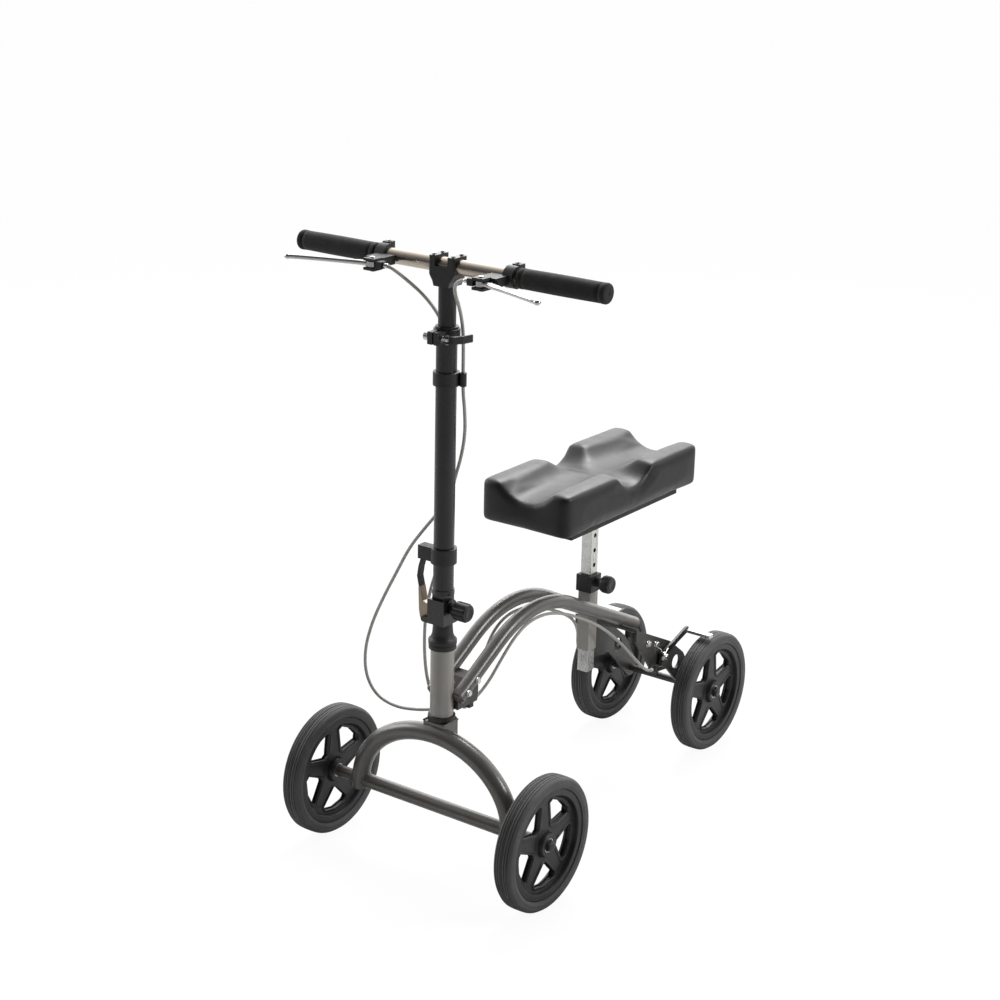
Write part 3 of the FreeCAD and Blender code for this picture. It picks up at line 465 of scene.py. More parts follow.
def make_brush_group():
    """Fine lines along one axis, as polishing or drawing leaves them."""
    tree, ends, out = start_group(
        "drawn_lines", [("Vector", "NodeSocketVector", None), ("Stretch", "NodeSocketVector", (0.03, 1.0, 1.0))],
        [("Height", "NodeSocketFloat"), ("Mask", "NodeSocketFloat")])
    stretch = tree.nodes.new("ShaderNodeVectorMath")
    stretch.operation = "MULTIPLY"
    wire(tree, ends.outputs["Vector"], stretch.inputs[0])
    wire(tree, ends.outputs["Stretch"], stretch.inputs[1])
    lines = noise(tree, stretch.outputs["Vector"], 2200.0, 3.0, 0.6)
    wire(tree, lines, out.inputs["Height"])
    wire(tree, remap(tree, lines, 0.35, 0.65), out.inputs["Mask"])


def use_group(tree, name, vector, **values):
    """Places a group and sets its own values."""
    node = tree.nodes.new("ShaderNodeGroup")
    node.node_tree = bpy.data.node_groups[name]
    wire(tree, vector, node.inputs["Vector"])
    for socket, value in values.items():
        node.inputs[socket.replace("_", " ")].default_value = value
    return node


def lighter(tone, share):
    """A tone moved towards white."""
    return tuple(c + (1 - c) * share for c in tone) + (1.0,)


def finish(slot, tone, roughness, metallic=0.0, rub=0.25, patch=14.0, lift=0.12, skin=("sprayed_skin", 700.0),
           depth=0.05, spread=0.1, coat=0.0, coat_roughness=0.2, sheen=0.0, specular=0.5, rubbed=None):
    """A finish: handled tone, a skin that gives its bump, and roughness that follows both."""
    # The frame's nodes already carry a material of this name: it is rebuilt, since a new one would get another name
    # and no piece would use it.
    material = bpy.data.materials.get(slot) or bpy.data.materials.new(slot)
    material.use_nodes = True
    tree = material.node_tree
    tree.nodes.clear()
    shader = tree.nodes.new("ShaderNodeBsdfPrincipled")
    wire(tree, shader.outputs["BSDF"], tree.nodes.new("ShaderNodeOutputMaterial").inputs["Surface"])
    place = tree.nodes.new("ShaderNodeTexCoord").outputs["Object"]
    worn = rubbed or lighter(tone, lift)
    tones = use_group(tree, "handled_tone", place, Base=(*tone, 1.0), Rubbed=worn, Patch_Scale=patch, Rub_Amount=rub)
    kind, scale = skin
    if kind == "sprayed_skin":
        relief = use_group(tree, kind, place, Peel_Scale=scale)
    elif kind == "pebbled_skin":
        relief = use_group(tree, kind, place, Pebble_Scale=scale)
    else:
        relief = use_group(tree, kind, place, Stretch=scale)
    base = tones.outputs["Color"]
    # Painted shade: the base colour is darkened in the creases of the grain, as though shade lay in them.
    if kind == "pebbled_skin":
        crease_shade = maths(tree, "MULTIPLY", relief.outputs["Crease"], 0.55)
        base = mixed(tree, crease_shade, base, (tone[0] * 0.35, tone[1] * 0.35, tone[2] * 0.35, 1.0))
    wire(tree, base, shader.inputs["Base Color"])
    uneven = remap(tree, noise(tree, place, 55.0, 3.0, 0.6), 0.3, 0.7, roughness - spread / 2, roughness + spread / 2)
    wire(tree, maths(tree, "ADD", uneven, maths(tree, "MULTIPLY", tones.outputs["Mask"], 0.15)),
         shader.inputs["Roughness"])
    bump = tree.nodes.new("ShaderNodeBump")
    bump.inputs["Strength"].default_value = 0.6
    bump.inputs["Distance"].default_value = depth / 1000
    wire(tree, relief.outputs["Height"], bump.inputs["Height"])
    wire(tree, bump.outputs["Normal"], shader.inputs["Normal"])
    shader.inputs["Metallic"].default_value = metallic
    shader.inputs["Specular IOR Level"].default_value = specular
    if coat:
        shader.inputs["Coat Weight"].default_value = coat
        shader.inputs["Coat Roughness"].default_value = coat_roughness
    if sheen:
        shader.inputs["Sheen Weight"].default_value = sheen
        shader.inputs["Sheen Roughness"].default_value = 0.4
    return material


class SCOOTER_OT_finishes(bpy.types.Operator):
    """Make the finishes and put them on the nodes that stay as they are"""
    bl_idname = "scooter.finishes"
    bl_label = "Finishes"

    def execute(self, context):
        make_tone_group()
        make_coat_group()
        make_pore_group()
        make_brush_group()
        tones = context.scene.scooter_colours
        finish("tyre_rubber", tuple(tones.tyre), 0.62, rub=0.5, patch=22, lift=0.10, skin=("sprayed_skin", 1500),
               depth=0.06)
        finish("rim_plastic", tuple(tones.rim), 0.42, rub=0.15, lift=0.06, skin=("sprayed_skin", 1300), depth=0.03)
        finish("arch_paint", tuple(tones.arch), 0.34, metallic=0.3, rub=0.3, patch=9, lift=0.12,
               skin=("sprayed_skin", 900), depth=0.016, coat=0.3, coat_roughness=0.18)
        finish("yoke_paint", tuple(tones.yoke), 0.42, metallic=0.5, rub=0.35, lift=0.10, skin=("sprayed_skin", 900),
               depth=0.04, coat=0.25, coat_roughness=0.25)
        finish("head_grey", tuple(tones.head), 0.36, metallic=0.1, rub=0.25, lift=0.12, skin=("sprayed_skin", 900),
               depth=0.02, coat=0.3, coat_roughness=0.25)
        finish("black_paint", tuple(tones.column), 0.30, rub=0.2, lift=0.05, skin=("sprayed_skin", 1000), depth=0.03,
               coat=0.3, coat_roughness=0.2)
        finish("zinc_steel", tuple(tones.plated), 0.26, metallic=1.0, rub=0.5, lift=0.2, rubbed=(0.60, 0.59, 0.56, 1),
               skin=("drawn_lines", (1.0, 1.0, 0.05)), depth=0.012, spread=0.16)
        finish("black_plastic", tuple(tones.moulding), 0.46, rub=0.2, lift=0.06, skin=("sprayed_skin", 1900),
               depth=0.05)
        finish("latch_brass", tuple(tones.brass), 0.34, metallic=0.9, rub=0.6, patch=60, rubbed=(0.30, 0.20, 0.12, 1),
               skin=("drawn_lines", (1.0, 1.0, 0.05)), depth=0.02)
        finish("bar_alloy", tuple(tones.bar), 0.24, metallic=1.0, rub=0.2, lift=0.2,
               skin=("drawn_lines", (0.02, 1.0, 1.0)),
               depth=0.008, spread=0.08)
        finish("lever_alloy", tuple(tones.lever), 0.22, metallic=1.0, rub=0.3, rubbed=(0.70, 0.69, 0.67, 1),
               skin=("drawn_lines", (0.05, 1.0, 1.0)), depth=0.008, spread=0.12)
        finish("grip_foam", tuple(tones.grip), 0.80, rub=0.3, lift=0.06, skin=("pebbled_skin", 1500), depth=0.12,
               sheen=0.12, specular=0.3)
        finish("pad_vinyl", tuple(tones.vinyl), 0.44, rub=0.25, patch=10, lift=0.05, skin=("pebbled_skin", 850),
               depth=0.05,
               spread=0.08, specular=0.45, coat=0.08, coat_roughness=0.3)
        finish("board_ply", tuple(tones.board), 0.66, rub=0.5, lift=0.1, skin=("drawn_lines", (1.0, 0.04, 1.0)),
               depth=0.08)
        finish("cable_cover", tuple(tones.cable), 0.38, rub=0.3, lift=0.1, skin=("sprayed_skin", 1500), depth=0.02)
        slots = {row["node"]: row["material_slot"] for row in frame["record"]["subparts"]}
        for node, obj in frame["nodes"].items():
            for place in obj.material_slots:
                place.material = bpy.data.materials[slots[node]]
        soft = {"rim_front_left": 1.4, "rim_front_right": 1.4, "rim_rear_left": 1.4, "rim_rear_right": 1.4,
                "hinge_base": 0.8, "hinge_tongue": 0.8, "bar_clamp": 0.8, "fork_crown": 1.5, "rear_yoke": 0.6,
                "seat_collar": 0.8, "seat_sleeve": 0.5, "knee_post": 0.5, "latch_lever": 0.5, "latch_catch": 0.8,
                "clamp_lever": 1.2, "column_clamp": 0.8, "guide_ring": 0.7, "headset_cups": 0.8, "headset_cap": 0.5,
                "cable_clip": 0.8, "head_gusset": 0.8, "lever_brackets": 0.8, "pad_board": 0.8, "brake_arm_left": 0.6,
                "brake_arm_right": 0.6, "post_knob": 0.7, "fold_knob": 0.7, "front_arch": 0.4}
        for node, width in soft.items():
            bevelled(frame["nodes"][node], width, weld=True)
        return {"FINISHED"}


# ------------------------------------------------------------------ wheels

def wheel_centre(place):
    """The middle of a wheel."""
    low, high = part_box("tyre_" + place)
    return (low + high) / 2


class SCOOTER_OT_tyres(bpy.types.Operator):
    """Turn the tyres with their grooved treads"""
    bl_idname = "scooter.tyres"
    bl_label = "Tyres"

    def execute(self, context):
        groove = settings().groove * 1000
        for place in WHEELS:
            low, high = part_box("tyre_" + place)
            tread = (high.z - low.z) * 500
            half = (high.x - low.x) * 500
            outer = [(tread - 17.4, half - 3.2), (tread - 17.0, half - 1.6), (tread - 13.5, half - 0.7),
                     (tread - 12.6, half - 0.2), (tread - 11.2, half - 0.2), (tread - 10.4, half - 0.5),
                     (tread - 6.5, half - 0.1), (tread - 4.6, half - 0.5), (tread - 3.0, half - 1.6),
                     (tread - 1.5, half - 3.6)]
            for offset in (9.6, 5.4, 1.2):
                drop = 0.25 if offset > 9 else 0.0
                outer += [(tread - 0.25 - drop, offset + 0.8), (tread - groove - drop, offset + 0.45),
                          (tread - groove - drop, offset - 0.45), (tread - 0.1 - drop, offset - 0.8)]
            profile = outer + [(radius, -along) for radius, along in reversed(outer)]
            mesh = lathe(profile, wheel_centre(place), AXES["X"], 160)
            obj = piece("tyre_tread_" + place, mesh, "tyre_rubber", "wheel_" + place, 50)
            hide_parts("tyre_" + place)
        return {"FINISHED"}


def window_outline():
    """One rim opening's outline, in millimetres, as part.py cuts it."""
    inner, outer = 28.0, 69.0
    return [(inner, -inner * 0.16), (outer * 0.80, -outer * 0.43), (outer * 0.93, -outer * 0.36), (outer, 0.0),
            (outer * 0.93, outer * 0.36), (outer * 0.80, outer * 0.43), (inner, inner * 0.16)]


class SCOOTER_OT_rim_details(bpy.types.Operator):
    """Add the flanges round the rims' openings, the hub collars and the bearings"""
    bl_idname = "scooter.rim_details"
    bl_label = "Rim details"

    def execute(self, context):
        corners = window_outline()
        dense = []
        for i, start in enumerate(corners):
            end = corners[(i + 1) % len(corners)]
            dense += [(start[0] + (end[0] - start[0]) * k / 4, start[1] + (end[1] - start[1]) * k / 4)
                      for k in range(4)]
        for place in WHEELS:
            centre = wheel_centre(place)
            flanges = []
            for side in (1, -1):
                for turn in range(5):
                    angle = 2 * math.pi * turn / 5
                    c, s = math.cos(angle), math.sin(angle)
                    line = []
                    for u, v in dense:
                        z, y = -(u * c - v * s), u * s + v * c
                        line.append(centre + mm(side * 4.4, y, z))
                    flanges.append(sweep(line, oval_section(0.0011, 0.0026, 3.0, 10), closed=True))
            mesh = joined("flanges", flanges)
            piece("rim_flanges_" + place, mesh, "rim_plastic", "wheel_" + place, 60)
            collars = []
            bearings = []
            for side in (1, -1):
                axis = AXES["X"] * side
                collars.append(lathe([(10.6, 9.0), (17.5, 9.0), (17.5, 12.3), (16.8, 12.9), (11.4, 12.9), (10.6, 12.2)],
                                     centre, axis, 64))
                bearings.append(lathe([(6.3, 8.0), (10.5, 8.0), (10.5, 12.2), (9.6, 12.2), (9.2, 11.6), (7.4, 11.6),
                                       (7.0, 12.2), (6.3, 12.2)], centre, axis, 64))
            piece("hub_collars_" + place, joined("collars", collars), "rim_plastic", "wheel_" + place)
            piece("wheel_bearings_" + place, joined("bearings", bearings), "zinc_steel", "wheel_" + place)
        return {"FINISHED"}


class SCOOTER_OT_axle_nuts(bpy.types.Operator):
    """Put hexagon lock nuts on the axles"""
    bl_idname = "scooter.axle_nuts"
    bl_label = "Axle nuts"

    def execute(self, context):
        for node, body in (("front_axle_nuts", "fork"), ("rear_axle_nuts", "frame")):
            low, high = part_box(node)
            middle = (low + high) / 2
            ends = []
            for side in (1, -1):
                seat = Vector((high.x - 0.007 if side == 1 else low.x + 0.007, middle.y, middle.z))
                ends.append(hex_head(seat, AXES["X"] * side, 15.0, 3.6, 9.0))
                ends.append(solid_lathe([(0, 4.4), (6.6, 4.4), (6.5, 5.2), (5.6, 6.2), (3.6, 6.8), (0, 6.95)], seat,
                                        AXES["X"] * side, 40))
            obj = piece(node.replace("nuts", "lock_nuts"), joined("nuts", ends), "black_plastic", body, 25)
            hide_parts(node)
        return {"FINISHED"}


# ------------------------------------------------------------------ knee pad

class SCOOTER_OT_knee_pad(bpy.types.Operator):
    """Fill the knee pad: a moulded foam block in a vinyl skin, hollowed along and across"""
    bl_idname = "scooter.knee_pad"
    bl_label = "Knee pad"

    def execute(self, context):
        node = frame["nodes"]["knee_pad"]
        low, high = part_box("knee_pad")
        centre = (low + high) / 2
        mesh = node.data.copy()
        obj = bpy.data.objects.new("knee_cushion", mesh)
        context.scene.collection.objects.link(obj)
        slim = settings().pad_swell * 0.55
        size = high - low
        for vertex in mesh.vertices:
            for k in range(3):
                share = 1 - 2 * slim / size[k]
                vertex.co[k] = centre[k] + (vertex.co[k] - centre[k]) * share
        remesh = obj.modifiers.new("even mesh", "REMESH")
        remesh.mode = "VOXEL"
        remesh.voxel_size = settings().pad_voxel
        apply_modifiers(obj)
        relax(obj.data, 10, 0.5)
        swell(obj, settings().pad_swell)
        relax(obj.data, 3, 0.5)
        draw_in(obj.data, low, high)
        fine = obj.modifiers.new("fine", "SUBSURF")
        fine.levels = 1
        fine.render_levels = 1
        obj.data.materials.clear()
        obj.data.materials.append(bpy.data.materials["pad_vinyl"])
        obj.data.shade_smooth()
        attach(obj, "knee_rest")
        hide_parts("knee_pad")
        return {"FINISHED"}


def apply_modifiers(obj):
    """Turns an object's modified shape into its mesh."""
    graph = bpy.context.evaluated_depsgraph_get()
    done = bpy.data.meshes.new_from_object(obj.evaluated_get(graph))
    obj.modifiers.clear()
    old = obj.data
    obj.data = done
    bpy.data.meshes.remove(old)


def relax(mesh, rounds, factor):
    """Rounds a mesh's edges off."""
    form = bmesh.new()
    form.from_mesh(mesh)
    for _ in range(rounds):
        bmesh.ops.smooth_vert(form, verts=form.verts, factor=factor, use_axis_x=True, use_axis_y=True, use_axis_z=True)
    form.to_mesh(mesh)
    form.free()


def swell(obj, most):
    """Fills the skin by cloth pressure, and holds every point within a distance of its start."""
    start = [v.co.copy() for v in obj.data.vertices]
    scene = bpy.context.scene
    cloth = obj.modifiers.new("filling", "CLOTH")
    cloth.settings.use_pressure = True
    cloth.settings.uniform_pressure_force = 4.0
    cloth.settings.effector_weights.gravity = 0.0
    cloth.settings.quality = 4
    cloth.settings.tension_stiffness = 40
    cloth.settings.compression_stiffness = 40
    cloth.settings.bending_stiffness = 8
    cloth.collision_settings.use_collision = False
    for step in range(1, 13):
        scene.frame_set(step)
    apply_modifiers(obj)
    scene.frame_set(1)
    for vertex, was in zip(obj.data.vertices, start):
        moved = vertex.co - was
        if moved.length > most:
            vertex.co = was + moved * (most / moved.length)


def draw_in(mesh, low, high):
    """Flattens the underside on its board and keeps the pad inside its own box."""
    for vertex in mesh.vertices:
        if vertex.co.z < low.z + 0.001:
            vertex.co.z = low.z + 0.0002
        for k in range(2):
            vertex.co[k] = min(max(vertex.co[k], low[k]), high[k])


# ------------------------------------------------------------------ cables

def routes():
    """The cables' control points in millimetres, as part.py lays them."""
    z = 911.0
    return {
        "upper_right": [(-71.9, -346, z), (-64, -346, z), (-54, -341, z - 7), (-46, -325, z - 22), (-38, -302, z - 43),
                        (-29, -282, z - 70), (-19, -272.5, z - 100), (-13, -271.5, z - 126), (-13, -271.5, 765)],
        "upper_left": [(71.9, -346, z), (64, -346, z), (54, -344, z - 4), (44, -338, z - 11), (33, -324, z - 26),
                       (27, -305, z - 50), (23.5, -292, z - 78), (22.5, -288, z - 108), (22.5, -288, 765)],
        "column_right": [(-13, -271.5, 765), (-13, -271.5, 735), (-11.5, -272.5, 690), (-13, -271.5, 640),
                         (-13, -271.5, 600)],
        "column_left": [(22.5, -288, 765), (22.5, -288, 738), (25, -286, 710), (22, -280, 672), (9, -272, 632),
                        (-4, -270, 596), (-8, -270, 571), (-8, -270, 550)],
        "loop_right": [(-13, -271.5, 600), (-13, -271.5, 577), (-29, -271.5, 544), (-56, -271, 512), (-84, -270.5, 476),
                       (-108, -270, 432), (-133, -270, 386), (-155, -270, 340), (-169, -270, 294), (-168, -270, 252),
                       (-148, -269, 222), (-112, -267, 212), (-74, -265, 217), (-43, -264.5, 226), (-22, -264, 232),
                       (-10.5, -261, 238), (-6.5, -255, 243), (-6.5, -246.3, 243)],
        "loop_left": [(-8, -270, 550), (-8, -270, 530), (-15, -270.5, 502), (-26, -272, 468), (-38, -276, 430),
                      (-46, -279, 385), (-48, -279, 340), (-47, -277, 298), (-42, -273.5, 265), (-32, -272, 246),
                      (-19, -271, 240.5), (-6, -269.5, 240), (3, -264, 242), (6.5, -256, 243), (6.5, -246.3, 243)],
        "frame": [(6.5, -246.2, 243), (6.5, -230, 243), (8, -212, 250), (12, -193, 267), (16, -172, 293),
                  (20, -146, 320),
                  (21, -112, 335.5), (21, -70, 336), (21, -30, 326), (21, 10, 309), (22, 50, 289.5), (29, 90, 264),
                  (43, 124, 230), (56, 142, 203), (64, 160, 181), (67, 176, 172), (67, 192, 172)],
    }


def cut_line(line, height):
    """Splits a falling line where it first goes under a height."""
    for i, spot in enumerate(line):
        if spot.z < height:
            return line[:i + 1], line[i:]
    return line, []


class SCOOTER_OT_cables(bpy.types.Operator):
    """Lay the brake cables from the levers to the brake arms"""
    bl_idname = "scooter.cables"
    bl_label = "Brake cables"

    def execute(self, context):
        section = round_section(settings().cable_radius, 14)
        laid = {name: smooth_line([mm(*spot) for spot in spots]) for name, spots in routes().items()}

        for name in ("upper_right", "upper_left"):
            obj = piece("cable_" + name, sweep(laid[name], section), "cable_cover")
            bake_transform(obj)
        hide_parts("brake_cables_upper")

        columns = [sweep(laid[name], section) for name in ("column_right", "column_left")]
        obj = piece("cables_column", joined("column", columns), "cable_cover", "column")
        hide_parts("brake_cables_column")

        for name, top, low in (("right", 590, 300), ("left", 540, 340)):
            upper, lower = cut_line(laid["loop_" + name], low / 1000)
            obj = piece("cable_loop_high_" + name, sweep(upper, section), "cable_cover")
            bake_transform(obj)
            obj = piece("cable_loop_low_" + name, sweep(lower, section), "cable_cover")
            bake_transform(obj)
        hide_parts("brake_cable_loops")

        mirror = [Vector((-spot.x, spot.y, spot.z)) for spot in laid["frame"]]
        obj = piece("cables_frame", joined("frame", [sweep(laid["frame"], section), sweep(mirror, section)]),
                    "cable_cover", "frame")
        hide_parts("brake_cables_frame")

        wire_section = round_section(0.0008, 8)
        for side, body in ((1, "brake_arm_left_body"), (-1, "brake_arm_right_body")):
            line = smooth_line([mm(side * 67, 190, 172), mm(side * 67, 196, 172), mm(side * 66, 201, 171),
                                mm(side * 66.5, 207, 170), mm(side * 66.5, 214, 168)])
            obj = piece("brake_wire_" + ("left" if side == 1 else "right"), sweep(line, wire_section), "zinc_steel")
            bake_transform(obj)

        self.ferrules()
        return {"FINISHED"}

    def ferrules(self):
        """The crimped caps where the housings end, and the barrel adjusters at the levers."""
        stem = []
        for side in (1, -1):
            axis = AXES["X"] * side
            base = mm(side * 66, -346, 911)
            stem.append(solid_lathe([(0, 0), (3.1, 0), (3.4, 0.8), (3.4, 8.0), (4.4, 8.2), (4.4, 9.0), (4.8, 9.4),
                                     (4.8, 12.4),
                                     (4.2, 13.0), (0, 13.0)], base, axis, 28))
        piece("barrel_adjusters", joined("adjusters", stem), "zinc_steel", "stem")
        ends = []
        for side in (1, -1):
            ends.append(solid_lathe([(0, 0), (3.0, 0), (3.3, 0.6), (3.3, 9.0), (2.9, 9.6), (0, 9.6)],
                                    mm(side * 66.9, 177.0, 174.0), Vector((0, 0.974, -0.226)), 24))
        piece("cable_ferrules", joined("ferrules", ends), "zinc_steel", "frame")


# ------------------------------------------------------------------ handlebar pieces

class SCOOTER_OT_grips(bpy.types.Operator):
    """Turn the foam grips with their banded ends"""
    bl_idname = "scooter.grips"
    bl_label = "Grips"

    def execute(self, context):
        low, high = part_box("grips")
        end = high.x * 1000
        radius = (high.z - low.z) * 500
        start = 123.0
        parts = []
        for side in (1, -1):
            half = [(BAR_RADIUS * 1000 + 0.05, start), (radius - 1.6, start), (radius - 0.5, start + 0.8),
                    (radius - 0.2, start + 3),
                    (radius - 0.2, start + 7), (radius - 1.3, start + 8.2), (radius - 1.3, start + 9.4),
                    (radius - 0.4, start + 10.6)]
            length = end - 12 - (start + 10.6)
            for k in range(1, 25):
                share = k / 25
                swell_out = 0.4 * math.sin(math.pi * share) - 0.1
                half.append((radius - 0.4 + swell_out, start + 10.6 + length * share))
            half += [(radius - 0.4, end - 12), (radius - 1.3, end - 10.8), (radius - 1.3, end - 9.6),
                     (radius - 0.2, end - 8.4),
                     (radius - 0.1, end - 3.0), (radius - 0.9, end - 1.2), (radius - 2.6, end - 0.3), (radius - 5, end),
                     (3.0, end), (2.2, end - 0.8), (0, end - 0.8)]
            parts.append(lathe(half, Vector((0, BAR.y, BAR.z)), AXES["X"] * side, 72, False))
        obj = piece("foam_grips", joined("grips", parts), "grip_foam", "stem", 45)
        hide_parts("grips")
        return {"FINISHED"}


class SCOOTER_OT_brake_levers(bpy.types.Operator):
    """Cast the brake levers: a boss on the pivot, a bend, and a long blade with a round tip"""
    bl_idname = "scooter.brake_levers"
    bl_label = "Brake levers"

    def execute(self, context):
        z = BAR.z * 1000 - 3.5
        for side, name in ((1, "left"), (-1, "right")):
            line = smooth_line([mm(side * x, y, z + dz) for x, y, dz in (
                (93.5, -346, 0), (103, -346.5, 0), (116, -350, 0), (130, -356, 0), (150, -363, 0.2), (172, -372, 0.5),
                (194, -380.5, 0.6), (206, -384.5, 0.4), (214, -386, 0))], 4)

            def widths(share):
                narrow = 1.0 - 0.42 * min(share / 0.35, 1.0)
                return (narrow, 1.0 - 0.18 * min(share / 0.4, 1.0))
            blade = sweep(line, oval_section(0.0058, 0.0039, 3.2, 24), scale=widths, up=AXES["Z"])
            boss = solid_lathe([(0, -4.1), (6.6, -4.1), (7.4, -3.4), (7.4, 3.4), (6.6, 4.1), (0, 4.1)],
                               mm(side * 93.5, -346, z), AXES["Z"], 48)
            ball = solid_lathe([(5.0 * math.sin(math.pi * k / 12) if 0 < k < 12 else 0,
                                 -4.0 * math.cos(math.pi * k / 12))
                                for k in range(13)], mm(side * 213.6, -386, z), AXES["Z"], 32)
            obj = piece("brake_blade_" + name, joined("lever", [blade, boss, ball]), "lever_alloy",
                        "lever_%s_body" % name)
            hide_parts("brake_lever_" + name)
        pins = []
        for side in (1, -1):
            pins.append(solid_lathe([(0, 0), (3.6, 0), (3.6, 1.2), (2.8, 1.9), (0, 1.9)],
                                    mm(side * 93.5, -346, z + 8.5),
                                    AXES["Z"], 24))
            pins.append(hex_head(mm(side * 93.5, -346, z - 8.5), -AXES["Z"], 6.0, 2.2))
            pins.append(socket_screw(mm(side * 111, -287, z + 20.4), AXES["Z"], 3.0, 2.2))
        piece("lever_pivot_screws", joined("pins", pins), "zinc_steel", "stem")
        return {"FINISHED"}


# ------------------------------------------------------------------ fasteners, welds and springs

class SCOOTER_OT_fasteners(bpy.types.Operator):
    """Add the bolts, plugs and caps"""
    bl_idname = "scooter.fasteners"
    bl_label = "Fasteners"

    def execute(self, context):
        low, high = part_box("bar_clamp")
        screws = [socket_screw(Vector((x, y, high.z)), AXES["Z"], 3.4, 2.4)
                  for x in (-0.0165, 0.0165) for y in (low.y + 0.006, high.y - 0.006)]
        piece("bar_clamp_screws", joined("screws", screws), "zinc_steel", "stem")

        low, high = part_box("yoke_bolts")
        heads = []
        for side in (1, -1):
            face = high.x - 0.0035 if side == 1 else low.x + 0.0035
            for y, z in ((low.y + 0.0042, high.z - 0.0042), (high.y - 0.0042, low.z + 0.0042)):
                heads.append(hex_head(Vector((face, y, z)), AXES["X"] * side, 9.0, 2.9, 5.6))
        obj = piece("yoke_hex_bolts", joined("heads", heads), "zinc_steel", "frame", 25)
        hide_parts("yoke_bolts")

        low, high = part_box("brake_pivots")
        middle = (low + high) / 2
        pivots = []
        for side in (1, -1):
            seat = Vector((side * 0.0664, middle.y, middle.z))
            pivots.append(hex_head(seat + AXES["X"] * side * 0.004, AXES["X"] * side, 9.0, 2.6, 6.0))
            pivots.append(solid_lathe([(0, 0), (3.9, 0), (3.9, 4.2), (0, 4.2)], seat, AXES["X"] * side, 24))
        piece("brake_pivot_nuts", joined("pivots", pivots), "zinc_steel", "frame", 25)

        for node, body, tone in (("fold_knob", "fold_knob_body", "black_plastic"),
                                 ("post_knob", "post_knob_body", "black_plastic")):
            low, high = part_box(node)
            seat = Vector((high.x - 0.0006, (low.y + high.y) / 2, (low.z + high.z) / 2))
            disc = solid_lathe([(0, 0), (9.2, 0), (9.2, 0.8), (8.6, 1.3), (7.4, 1.3), (6.9, 0.9), (0, 0.9)], seat,
                               AXES["X"], 48)
            piece(node + "_cap", disc, tone, body)

        bolt = hex_head(Vector((0, -0.241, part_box("cable_clip")[0].z + 0.0045)), -AXES["Z"], 8.0, 3.2, 4.8)
        piece("clip_bolt", bolt, "zinc_steel", "frame", 25)
        crown = socket_screw(Vector((0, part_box("fork_crown")[0].y, 0.2185)), -AXES["Y"], 4.6, 3.0)
        piece("crown_bolt", crown, "zinc_steel", "fork")
        plugs = []
        slope = math.radians(25.9)
        out = Vector((0, math.cos(slope), -math.sin(slope)))
        for side in (1, -1):
            seat = mm(side * 22.3, 190, 241.16)
            plugs.append(solid_lathe([(0, 0), (10.9, 0), (11.1, 0.6), (10.9, 2.4), (9.6, 3.4), (0, 3.6)], seat, out,
                                     48))
        piece("frame_end_plugs", joined("plugs", plugs), "black_plastic", "frame")

        rise = math.radians(30.4)
        out = Vector((0, -math.cos(rise), -math.sin(rise)))
        caps = []
        for side in (1, -1):
            seat = mm(side * 22.3, -287, 381.3 - (287 - 98.6) * math.tan(rise))
            caps.append(solid_lathe([(0, 0), (11.1, 0), (11.1, 0.5), (10.6, 2.0), (8.8, 3.3), (5.6, 4.2), (0, 4.5)],
                                    seat, out, 56))
        piece("frame_front_caps", joined("caps", caps), "arch_paint", "frame")

        bolts = []
        for side in (1, -1):
            for y in (-276.0, -254.0):
                height = 381.3 + (y + 98.6) * math.tan(rise)
                bolts.append(hex_head(mm(side * 33.2, y, height), AXES["X"] * side, 8.0, 2.8, 5.2))
        piece("neck_bolts", joined("bolts", bolts), "zinc_steel", "frame", 25)

        low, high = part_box("pad_board")
        middle = (low + high) / 2
        screws = [hex_head(Vector((middle.x + x, middle.y + y, low.z)), -AXES["Z"], 8.0, 2.6, 6.0)
                  for x in (-0.027, 0.027) for y in (-0.027, 0.027)]
        piece("pad_plate_screws", joined("screws", screws), "zinc_steel", "knee_rest", 25)
        return {"FINISHED"}


def weld(line, closed=False):
    """A weld bead: a tube whose radius ripples along the line."""
    radius = settings().weld_radius
    length = sum((b - a).length for a, b in zip(line, line[1:]))
    ripples = max(int(length / 0.0028), 4)

    def ripple(share):
        return 0.82 + 0.18 * abs(math.sin(math.pi * ripples * share))
    return sweep(line, round_section(radius, 10), closed, ripple)


def ring_line(centre, axis, radius, steps=140, start=0.0, end=2 * math.pi):
    """Points round a circle, in metres."""
    side, up = basis(axis)
    return [centre + (side * math.cos(start + (end - start) * i / steps)
                      + up * math.sin(start + (end - start) * i / steps))
            * radius for i in range(steps)]


